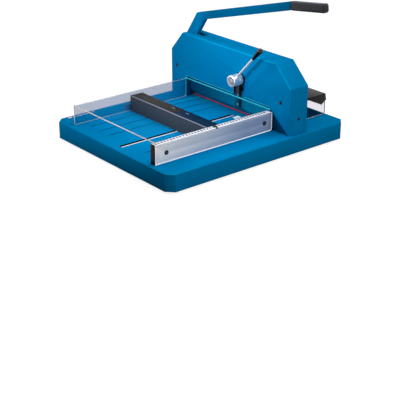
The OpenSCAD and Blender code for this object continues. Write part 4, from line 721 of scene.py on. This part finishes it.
# Front guard: clear L whose sawn edges carry a painted highlight
SHEET = 4 * MM
SHEET_EDGE = 0.4 * MM
GUARD_CORNER = 5 * MM
FOOT_BAND = 2 * MM
BACK_BAND = 0.6 * MM
PANEL_GAP = 0.02 * MM
# the looks of a sheet's faces, in the order of the materials of both guards
PLAIN, SAWN, FOOT_REFLECTION, TOP, BACK_HIGHLIGHT = range(5)

front_lo, front_hi = box_of("front_guard")


def sheet_wall(points, x0, x1):
    """A wall of sheet whose narrow faces are painted bright as a highlight: at its foot bluish, a
    painted reflection of the table, elsewhere white.
    """
    bm = prism(points, "x", x0, x1, SHEET_EDGE, segments=1)
    low = min(z for y, z in points) + FOOT_BAND
    back = max(y for y, z in points) - BACK_BAND
    paint_faces(bm, SAWN, lambda f: abs(f.normal.x) < FACING)
    paint_faces(bm, FOOT_REFLECTION, lambda f: abs(f.normal.x) < FACING and f.calc_center_median().z < low)
    paint_faces(bm, BACK_HIGHLIGHT, lambda f: f.calc_center_median().y > back)
    return bm


wall_top = front_hi.z - SHEET - PANEL_GAP
wall = sheet_wall(
    arc(front_lo.y + GUARD_CORNER, front_lo.z + GUARD_CORNER, GUARD_CORNER, 180, 270)
    + arc(front_hi.y - GUARD_CORNER, front_lo.z + GUARD_CORNER, GUARD_CORNER, 270, 360)
    + [(front_hi.y, wall_top), (front_lo.y, wall_top)], front_lo.x, front_lo.x + SHEET)
paint_faces(wall, PLAIN, up_face)
panel_arc = arc(front_lo.x + SHEET, front_hi.z - SHEET, SHEET, 180, 90, steps=6)
panel = prism(panel_arc + [(front_hi.x, front_hi.z), (front_hi.x, front_hi.z - SHEET)], "y",
              front_lo.y, front_hi.y)
paint_faces(panel, TOP, lambda f: True)
paint_faces(panel, SAWN, lambda f: f.normal.y < -FACING)
paint_faces(panel, BACK_HIGHLIGHT, lambda f: f.normal.y > FACING)
add("front_guard_sheet", [wall, panel], "front_flap",
    ["clear_wall", "clear_edge", "clear_foot", "clear_top", "clear_back"], ["front_guard"])

# Rear guard: two walls under a top panel, cut to the handle's side view
HANDLE_BACK_Z = 104.7 * MM
HANDLE_LOW = (352 * MM, 94.2 * MM)
HANDLE_BEND = (291.6 * MM, 121.5 * MM)
HANDLE_TOP_Y = 284.8 * MM
PANEL_BACK_Y = 288 * MM

rear_lo, rear_hi = box_of("rear_guard")
side_view = [
    (rear_lo.y, rear_lo.z), (rear_hi.y, rear_lo.z), (rear_hi.y, HANDLE_BACK_Z), HANDLE_LOW, HANDLE_BEND,
    (HANDLE_TOP_Y, rear_hi.z), (rear_lo.y, rear_hi.z),
]
walls = [sheet_wall(side_view, x, x + SHEET) for x in (rear_lo.x, rear_hi.x - SHEET)]
top_side_view = [
    (rear_lo.y, rear_hi.z - SHEET), (PANEL_BACK_Y, rear_hi.z - SHEET), (HANDLE_TOP_Y, rear_hi.z),
    (rear_lo.y, rear_hi.z),
]
top = prism(top_side_view, "x", rear_lo.x + SHEET, rear_hi.x - SHEET)
paint_faces(top, TOP, lambda f: abs(f.normal.z) > FACING)
paint_faces(top, SAWN, lambda f: abs(f.normal.y) > LEANING)
add("rear_guard_sheet", walls + [top], "rear_flap",
    ["clear_rear", "clear_edge", "clear_foot", "clear_top", "clear_edge"], ["rear_guard"])

# Clamp lever: turned hub, rod and knob
SHAFT_X = 61 * MM
SHAFT_Z = 194 * MM
ROD_Y = 94.5 * MM
ROD_SLOPE = math.radians(46)
ROD_R = 4.5 * MM
ROD_START = 12 * MM
ROD_SEAT = 22 * MM
ROD_IN_KNOB = 13 * MM
KNOB_START = 132 * MM
KNOB_END = 188 * MM
KNOB_SOCKET = 15 * MM
KNOB_BORE = 4.52 * MM
KNOB_MOUTH = 5.4 * MM
KNOB_LIP = 6.0 * MM
KNOB_LIP_HIGH = 0.7 * MM
KNOB_NECK = 5.9 * MM
KNOB_NECK_HIGH = 5 * MM
KNOB_TIP = 9.5 * MM
KNOB_SWELL = 1.15
KNOB_RINGS = 9

rod_dir = Vector((math.cos(ROD_SLOPE), 0, math.sin(ROD_SLOPE)))
rod_origin = Vector((SHAFT_X, ROD_Y, SHAFT_Z))
knob_profile = [
    (0, KNOB_START + KNOB_SOCKET), (KNOB_BORE, KNOB_START + KNOB_SOCKET), (KNOB_BORE, KNOB_START),
    (KNOB_MOUTH, KNOB_START), (KNOB_LIP, KNOB_START + KNOB_LIP_HIGH),
    (KNOB_NECK, KNOB_START + KNOB_NECK_HIGH),
]
knob_long = KNOB_END - KNOB_START - KNOB_TIP - KNOB_NECK_HIGH
for i in range(1, KNOB_RINGS):
    t = i / KNOB_RINGS
    knob_profile.append((KNOB_NECK + (KNOB_TIP - KNOB_NECK) * t ** KNOB_SWELL,
                         KNOB_START + KNOB_NECK_HIGH + t * knob_long))
knob_profile += arc(0, KNOB_END - KNOB_TIP, KNOB_TIP, 0, 80, steps=8) + [(0, KNOB_END)]
add("clamp_knob_turned", lathe(knob_profile, rod_origin, rod_dir), "clamp", ["knob_black"],
    ["clamp_knob"], smooth=50)
rod_profile = [(0, ROD_START), (ROD_R, ROD_START), (ROD_R, ROD_SEAT), (ROD_R, KNOB_START),
               (ROD_R, KNOB_START + ROD_IN_KNOB), (0, KNOB_START + ROD_IN_KNOB)]
add("clamp_rod_turned", lathe(rod_profile, rod_origin, rod_dir, segments=48), "clamp", ["chrome"],
    ["clamp_rod"])

# the hub, from the housing outwards: chamfer, groove, rounded front edge, sunk ring in its face
HUB_BACK_EDGE = 0.6 * MM
HUB_GROOVE = 0.5 * MM
GROOVE_START_SHARE = 0.3
GROOVE_END_SHARE = 0.36
HUB_FRONT_EDGE = 1.4 * MM
HUB_FRONT_STEP = 0.5 * MM
HUB_FRONT_LIP = 0.4 * MM
DISH_OUTER = 14.5 * MM
DISH_INNER = 6.5 * MM
DISH_SLOPE = 0.6 * MM
DISH_DEEP = 0.7 * MM
DISH_RING = (7 * MM, 13.7 * MM)

hub_lo, hub_hi = box_of("clamp_hub")
hub_r = (hub_hi.x - hub_lo.x) / 2
hub_long = hub_hi.y - hub_lo.y
groove_start, groove_end = hub_long * GROOVE_START_SHARE, hub_long * GROOVE_END_SHARE
hub_profile = [
    (0, 0), (hub_r - HUB_BACK_EDGE, 0), (hub_r, HUB_BACK_EDGE), (hub_r, groove_start),
    (hub_r - HUB_GROOVE, groove_start + HUB_GROOVE), (hub_r - HUB_GROOVE, groove_end),
    (hub_r, groove_end + HUB_GROOVE), (hub_r, hub_long - HUB_FRONT_EDGE),
    (hub_r - HUB_FRONT_STEP, hub_long - HUB_FRONT_LIP), (hub_r - HUB_FRONT_EDGE, hub_long),
    (DISH_OUTER, hub_long), (DISH_OUTER - DISH_SLOPE, hub_long - DISH_DEEP),
    (DISH_INNER, hub_long - DISH_DEEP), (DISH_INNER - DISH_SLOPE, hub_long), (0, hub_long),
]


def in_dish(f):
    """Whether a face is the floor of the sunk ring."""
    c = f.calc_center_median()
    return f.normal.y < -FACING and within(math.hypot(c.x - SHAFT_X, c.z - SHAFT_Z), DISH_RING)


hub = lathe(hub_profile, Vector((SHAFT_X, hub_hi.y, SHAFT_Z)), (0, -1, 0))
hub.normal_update()
paint_faces(hub, 1, in_dish)
add("clamp_hub_turned", hub, "clamp", ["chrome", "ring_shade"], ["clamp_hub"], smooth=25)

# the rod's seat in the hub, as radius and place along the rod
SEAT = (
    (5.6 * MM, 17.5 * MM), (5.8 * MM, 19.2 * MM), (5.8 * MM, 21 * MM), (5.2 * MM, 21.6 * MM),
    (4.55 * MM, 21.6 * MM),
)
add("clamp_rod_seat", lathe(SEAT, rod_origin, rod_dir, segments=48), "clamp", ["chrome"])

# Side guide: raised rim that glows as a painted highlight, ruled top edge, sockets in the screws
RIM = 0.5 * MM
RIM_NEAR, RIM_LOW, RIM_FAR, RIM_TOP = 1.6 * MM, 3 * MM, 2.6 * MM, 1.2 * MM
FAR_CORNER = 8 * MM
BAND_PROUD = 0.1 * MM
LINE_LOW, LINE_HIGH = 9.4 * MM, 8.8 * MM
LINE_NEAR, LINE_FAR = 2 * MM, 5 * MM
LINE_PROUD = 0.12 * MM

guide_lo, guide_hi = box_of("side_guide")


def guide_outline(d_near, d_low, d_far, d_top, r):
    """The guide's face moved in by a distance on each side, with its two far corners round."""
    y0, y1 = guide_lo.y + d_near, guide_hi.y - d_far
    z0, z1 = guide_lo.z + d_low, guide_hi.z - d_top
    far_low = arc(y1 - r, z0 + r, r, 270, 360, steps=8)
    far_high = arc(y1 - r, z1 - r, r, 0, 90, steps=8)
    return [(y0, z0)] + far_low + far_high + [(y0, z1)]


def ring(outer, inner, x0, x1):
    """A flat frame between two outlines, x0 to x1."""
    bm = bmesh.new()
    rows = [[bm.verts.new((x, *p)) for p in pts]
            for x, pts in ((x0, outer), (x1, outer), (x1, inner), (x0, inner))]
    n = len(outer)
    for a, b in zip(rows, rows[1:] + rows[:1]):
        for i in range(n):
            bm.faces.new((a[i], a[(i + 1) % n], b[(i + 1) % n], b[i]))
    bmesh.ops.recalc_face_normals(bm, faces=bm.faces)
    return bm


rim_outer = guide_outline(0, 0, 0, 0, FAR_CORNER)
rim_inner = guide_outline(RIM_NEAR, RIM_LOW, RIM_FAR, RIM_TOP, FAR_CORNER - RIM_FAR)
add("guide_rim", ring(rim_outer, rim_inner, guide_hi.x - SUNK, guide_hi.x + RIM), "root",
    ["bright_edge"])
band = block((guide_hi.x - SUNK, guide_lo.y + RIM_NEAR, guide_hi.z - LINE_HIGH),
             (guide_hi.x + BAND_PROUD, guide_hi.y - FAR_CORNER, guide_hi.z - RIM_TOP))
add("guide_face_band", band, "root", ["band_aluminium"])
# a dark line under the band: painted shade of a groove
line = block((guide_hi.x - SUNK, guide_lo.y + LINE_NEAR, guide_hi.z - LINE_LOW),
             (guide_hi.x + LINE_PROUD, guide_hi.y - LINE_FAR, guide_hi.z - LINE_HIGH))
add("guide_groove_line", line, "root", ["line_shade"])

# the rule on the guide's top: wide marks, and none beside the screw
RULE_START, RULE_END = 6 * MM, 10 * MM
RULE_STEP = 12 * MM
TICK_IN = 5 * MM
TICK_WIDE = 5.5 * MM
TICK_SHORT, TICK_LONG = 9 * MM, 11 * MM
TICKS_PER_LONG = 5
TOP_SCREW_Y = -114.4 * MM
TOP_SCREW_CLEAR = 9.5 * MM
EDGE_LINE_X = (0.2 * MM, 1.5 * MM)
EDGE_LINE_NEAR, EDGE_LINE_FAR = 1 * MM, 9 * MM

ticks = []
for i in range(int((guide_hi.y - guide_lo.y - RULE_START - RULE_END) / RULE_STEP)):
    y = guide_lo.y + RULE_START + i * RULE_STEP
    length = TICK_LONG if i % TICKS_PER_LONG == 0 else TICK_SHORT
    if abs(y - TOP_SCREW_Y) > TOP_SCREW_CLEAR:
        start = guide_lo.x + TICK_IN
        ticks.append(mark(start, start + length, y, y + TICK_WIDE, guide_hi.z))
add("guide_ticks", ticks, "root", ["tick_ink"])
add("guide_edge_line", mark(guide_lo.x + EDGE_LINE_X[0], guide_lo.x + EDGE_LINE_X[1],
                            guide_lo.y + EDGE_LINE_NEAR, guide_hi.y - EDGE_LINE_FAR, guide_hi.z),
    "root", ["tick_ink"])

# the screws: a pale socket in each of the two in the face, a black seat round the top one
HEAD_REACH = 0.3 * MM
SOCKET_R = 1.6 * MM
SOCKET_PROUD = 0.05 * MM
HOLE_R = 4.6 * MM
HOLE_PROUD = 0.1 * MM
SEAT_R = 5.5 * MM
SEAT_PROUD = 0.06 * MM

middle_y = (guide_lo.y + guide_hi.y) / 2
near_head, far_head = [], []
for v in NODES["side_guide_screws"].data.vertices:
    if v.co.x > guide_hi.x - HEAD_REACH:
        head = far_head if v.co.y > middle_y else near_head
        head.append(v.co)
socket_profile = [
    (0, 0), (SOCKET_R, 0), (SOCKET_R, 2 * SOCKET_PROUD), (0, 2 * SOCKET_PROUD),
]
sockets = []
for head in (near_head, far_head):
    middle = sum(head, Vector()) / len(head)
    middle.x = max(v.x for v in head) - SOCKET_PROUD
    sockets.append(lathe(socket_profile, middle, (1, 0, 0), segments=COARSE_TURN))
add("guide_screw_sockets", sockets, "root", ["pale_edge"])
hole = prism(arc(TOP_SCREW_Y, guide_hi.z, HOLE_R, 180, 360, steps=12), "x",
             guide_hi.x + RIM - HOLE_PROUD, guide_hi.x + RIM + HOLE_PROUD)
seat = prism(arc(guide_hi.x, TOP_SCREW_Y, SEAT_R, 90, 270, steps=12), "z",
             guide_hi.z - SUNK, guide_hi.z + SEAT_PROUD)
add("guide_top_screw_seat", [hole, seat], "root", ["black_steel"])

# a round plug in the far top corner: its outline stops one step before it would close
PLUG_R = 2.3 * MM
PLUG_TURN = 337
PLUG_Y, PLUG_Z = 5.5 * MM, 6 * MM
PLUG_SUNK, PLUG_PROUD = 0.1 * MM, 0.15 * MM
plug = prism(arc(guide_hi.y - PLUG_Y, guide_hi.z - PLUG_Z, PLUG_R, 0, PLUG_TURN, steps=15), "x",
             guide_hi.x + RIM - PLUG_SUNK, guide_hi.x + RIM + PLUG_PROUD)
add("guide_corner_plug", plug, "root", ["black_steel"])

# Scale strip: printed lines, after a blank stretch for its screw
STRIP_BLANK, STRIP_END = 26 * MM, 4 * MM
STRIP_STEP = 5 * MM
STRIP_IN = 0.4 * MM
STRIP_LONG, STRIP_SHORT = 4.0 * MM, 2.6 * MM
STRIP_WIDE = 0.8 * MM
STRIP_PROUD = 0.04 * MM

strip_lo, strip_hi = box_of("scale_strip")
lines = []
for i in range(int((strip_hi.y - strip_lo.y - STRIP_BLANK - STRIP_END) / STRIP_STEP)):
    y = strip_lo.y + STRIP_BLANK + i * STRIP_STEP
    start = strip_lo.x + STRIP_IN
    length = STRIP_LONG if i % 2 == 0 else STRIP_SHORT
    lines.append(mark(start, start + length, y, y + STRIP_WIDE, strip_hi.z, STRIP_PROUD))
add("scale_lines", lines, "root", ["strip_ink"])

# Gauge: two pale arrows on its top
ARROWS = (-37 * MM, 36 * MM)
ARROW_IN = 34 * MM
STEM_LONG, STEM_WIDE = 9 * MM, 1.6 * MM
HEAD_START, HEAD_END = 11 * MM, 14.5 * MM
HEAD_HALF = 3 * MM

gauge_lo, gauge_hi = box_of("gauge_bar")
arrows = []
for x in ARROWS:
    y = gauge_lo.y + ARROW_IN
    axis = y + STEM_WIDE / 2
    arrows.append(mark(x, x + STEM_LONG, y, y + STEM_WIDE, gauge_hi.z))
    arrows.append(prism([(x + HEAD_START, axis - HEAD_HALF), (x + HEAD_END, axis),
                         (x + HEAD_START, axis + HEAD_HALF)],
                        "z", gauge_hi.z - SUNK, gauge_hi.z + MARK_PROUD))
add("gauge_marks", arrows, "gauge", ["pale_ink"])

# Housing: painted highlights along the sheet's edges round the opening and the rack's slot, on thin
# proud bars
OPEN_X = (-228 * MM, 205 * MM)
OPEN_TOP = 134 * MM
RACK_SLOT_X = (26.5 * MM, 77.5 * MM)
RACK_SLOT_TOP = 176 * MM
BEAD = 1.5 * MM
BEAD_EDGE = 0.4 * MM
BEAD_LIFT = 0.1 * MM
BEAD_PROUD, BEAD_DEEP = 0.15 * MM, 1.6 * MM

cover_lo = box_of("front_cover")[0]


def bead(x0, x1, z0, z1):
    """A bar along the sheet's edge, a hair proud of the housing's front, that carries the painted
    highlight.
    """
    return block((x0, cover_lo.y - BEAD_PROUD, z0), (x1, cover_lo.y + BEAD_DEEP, z1), BEAD_EDGE)


highlight_beads = [
    bead(OPEN_X[0] - BEAD, OPEN_X[0], TABLE_TOP + BEAD_LIFT, OPEN_TOP + BEAD),
    bead(OPEN_X[0], RACK_SLOT_X[0] - BEAD, OPEN_TOP, OPEN_TOP + BEAD),
    bead(RACK_SLOT_X[1], OPEN_X[1], OPEN_TOP, OPEN_TOP + BEAD),
    bead(RACK_SLOT_X[0] - BEAD, RACK_SLOT_X[0], OPEN_TOP, RACK_SLOT_TOP),
]
add("edge_highlight_beads", highlight_beads, "root", ["cut_edge"])

# Cover screws at the front: orange-brown centres and a dark disc round each
COVER_SCREWS = ((-284.3 * MM, 101.5 * MM), (-284.3 * MM, 161.5 * MM), (258 * MM, 161.5 * MM))
# radius and distance from the cover's face
CENTRE = ((0, 1.2 * MM), (1.7 * MM, 1.2 * MM), (1.7 * MM, 1.9 * MM), (0, 2.0 * MM))
DARK_DISC = ((0, 0), (6 * MM, 0), (6 * MM, 0.15 * MM), (0, 0.15 * MM))


def at_screws(profile, segments):
    """The turned form once at each cover screw."""
    return [lathe(profile, Vector((x, cover_lo.y, z)), (0, -1, 0), segments) for x, z in COVER_SCREWS]


add("cover_screw_centres", at_screws(CENTRE, segments=COARSE_TURN), "root", ["brown_centre"])
add("cover_screw_dark_discs", at_screws(DARK_DISC, segments=32), "root", ["black_steel"])

# Floor and world: both look white, and the floor keeps the object's shadow
FLOOR_HALF = 20
FLOOR_SHADE_FADE = (("From Min", 0.6), ("From Max", 2.0), ("To Min", 0.84), ("To Max", 1.0))
FLOOR_SEEN = (0.35, 0.35, 0.35, 1)
FLOOR_UNSEEN = (0.3, 0.3, 0.3, 1)
SKY_COLOR = (0.95, 0.97, 1.0, 1)
SKY = 0.03
WHITE = (1, 1, 1, 1)


def seen_white(tree):
    """1 for camera, glossy and transmission rays, 0 for the others."""
    path = tree.nodes.new("ShaderNodeLightPath")
    seen = path.outputs["Is Camera Ray"]
    for ray in ("Is Glossy Ray", "Is Transmission Ray"):
        larger = tree.nodes.new("ShaderNodeMath")
        larger.operation = "MAXIMUM"
        tree.links.new(seen, larger.inputs[0])
        tree.links.new(path.outputs[ray], larger.inputs[1])
        seen = larger.outputs[0]
    return seen


def colored(tree, kind, color):
    """A shader node of one colour."""
    node = tree.nodes.new(kind)
    node.inputs["Color"].default_value = color
    return node


def floor_material():
    """Where it is seen it shines white, dimmed near the object as painted shade, and takes its shadow.
    """
    s = Shader("floor")
    s.nodes.remove(s.base)
    dull = colored(s, "ShaderNodeBsdfDiffuse", FLOOR_SEEN)
    dim = colored(s, "ShaderNodeBsdfDiffuse", FLOOR_UNSEEN)
    glow = colored(s, "ShaderNodeEmission", WHITE)
    reach = s.nodes.new("ShaderNodeVectorMath")
    reach.operation = "LENGTH"
    s.links.new(s.nodes.new("ShaderNodeTexCoord").outputs["Object"], reach.inputs[0])
    fade = s.nodes.new("ShaderNodeMapRange")
    for key, value in FLOOR_SHADE_FADE:
        fade.inputs[key].default_value = value
    s.links.new(reach.outputs["Value"], fade.inputs["Value"])
    s.links.new(fade.outputs["Result"], glow.inputs["Strength"])
    both = s.nodes.new("ShaderNodeAddShader")
    s.links.new(glow.outputs[0], both.inputs[0])
    s.links.new(dull.outputs[0], both.inputs[1])
    pick = mix_shader(s, seen_white(s), dim, both)
    s.links.new(pick.outputs[0], s.nodes["Material Output"].inputs["Surface"])
    return s.mat


def make_floor():
    """A wide plane under the feet."""
    bm = bmesh.new()
    bmesh.ops.create_grid(bm, x_segments=1, y_segments=1, size=FLOOR_HALF)
    mesh = bpy.data.meshes.new("floor")
    bm.to_mesh(mesh)
    bm.free()
    mesh.materials.append(floor_material())
    floor = bpy.data.objects.new("floor", mesh)
    floor.location = (0, 0, cad_box[0].z)
    bpy.context.scene.collection.objects.link(floor)


def make_world():
    """A faint cool sky that looks white."""
    world = bpy.data.worlds.new("world")
    bpy.context.scene.world = world
    world.use_nodes = True
    tree = world.node_tree
    tree.nodes.clear()
    sky = colored(tree, "ShaderNodeBackground", SKY_COLOR)
    sky.inputs["Strength"].default_value = SKY
    white = colored(tree, "ShaderNodeBackground", WHITE)
    pick = mix_shader(tree, seen_white(tree), sky, white)
    tree.links.new(pick.outputs[0], tree.nodes.new("ShaderNodeOutputWorld").inputs["Surface"])


make_floor()
make_world()

# The lights: name, place, target, width in metres, spread in degrees, power in watts
LIGHTS = (
    ("high_left", (-1.5, -0.75, 1.4), (0.0, 0.0, 0.1), 0.35, 180, 1.5),
    ("front_near", (0.03, -0.5, 0.5), (0.03, 0.12, 0.2), 0.3, 110, 1.25),
    ("key", (-0.85, -0.75, 1.45), (0.0, 0.0, 0.1), 0.2, 180, 6.2),
    ("low_near", (-0.65, -0.95, 0.14), (-0.25, -0.377, 0.03), 0.3, 120, 0.8),
    ("right_front", (1.4, -1.3, 0.9), (0.1, 0.0, 0.1), 0.8, 180, 1.4),
    ("top", (0.25, 0.3, 1.6), (0, 0, 0.1), 1.0, 180, 16.5),
    ("side", (2.2, 0.1, 0.8), (0.3, 0, 0.15), 1.0, 180, 17.1),
)


def add_light(name, place, target, width, spread, power):
    """A round lamp that points at its target."""
    data = bpy.data.lights.new(name, "AREA")
    data.shape = "DISK"
    data.size = width
    data.spread = math.radians(spread)
    data.energy = power
    lamp = bpy.data.objects.new(name, data)
    lamp.location = place
    lamp.rotation_mode = "QUATERNION"
    lamp.rotation_quaternion = (Vector(target) - Vector(place)).to_track_quat("-Z", "Y")
    bpy.context.scene.collection.objects.link(lamp)


for light in LIGHTS:
    add_light(*light)
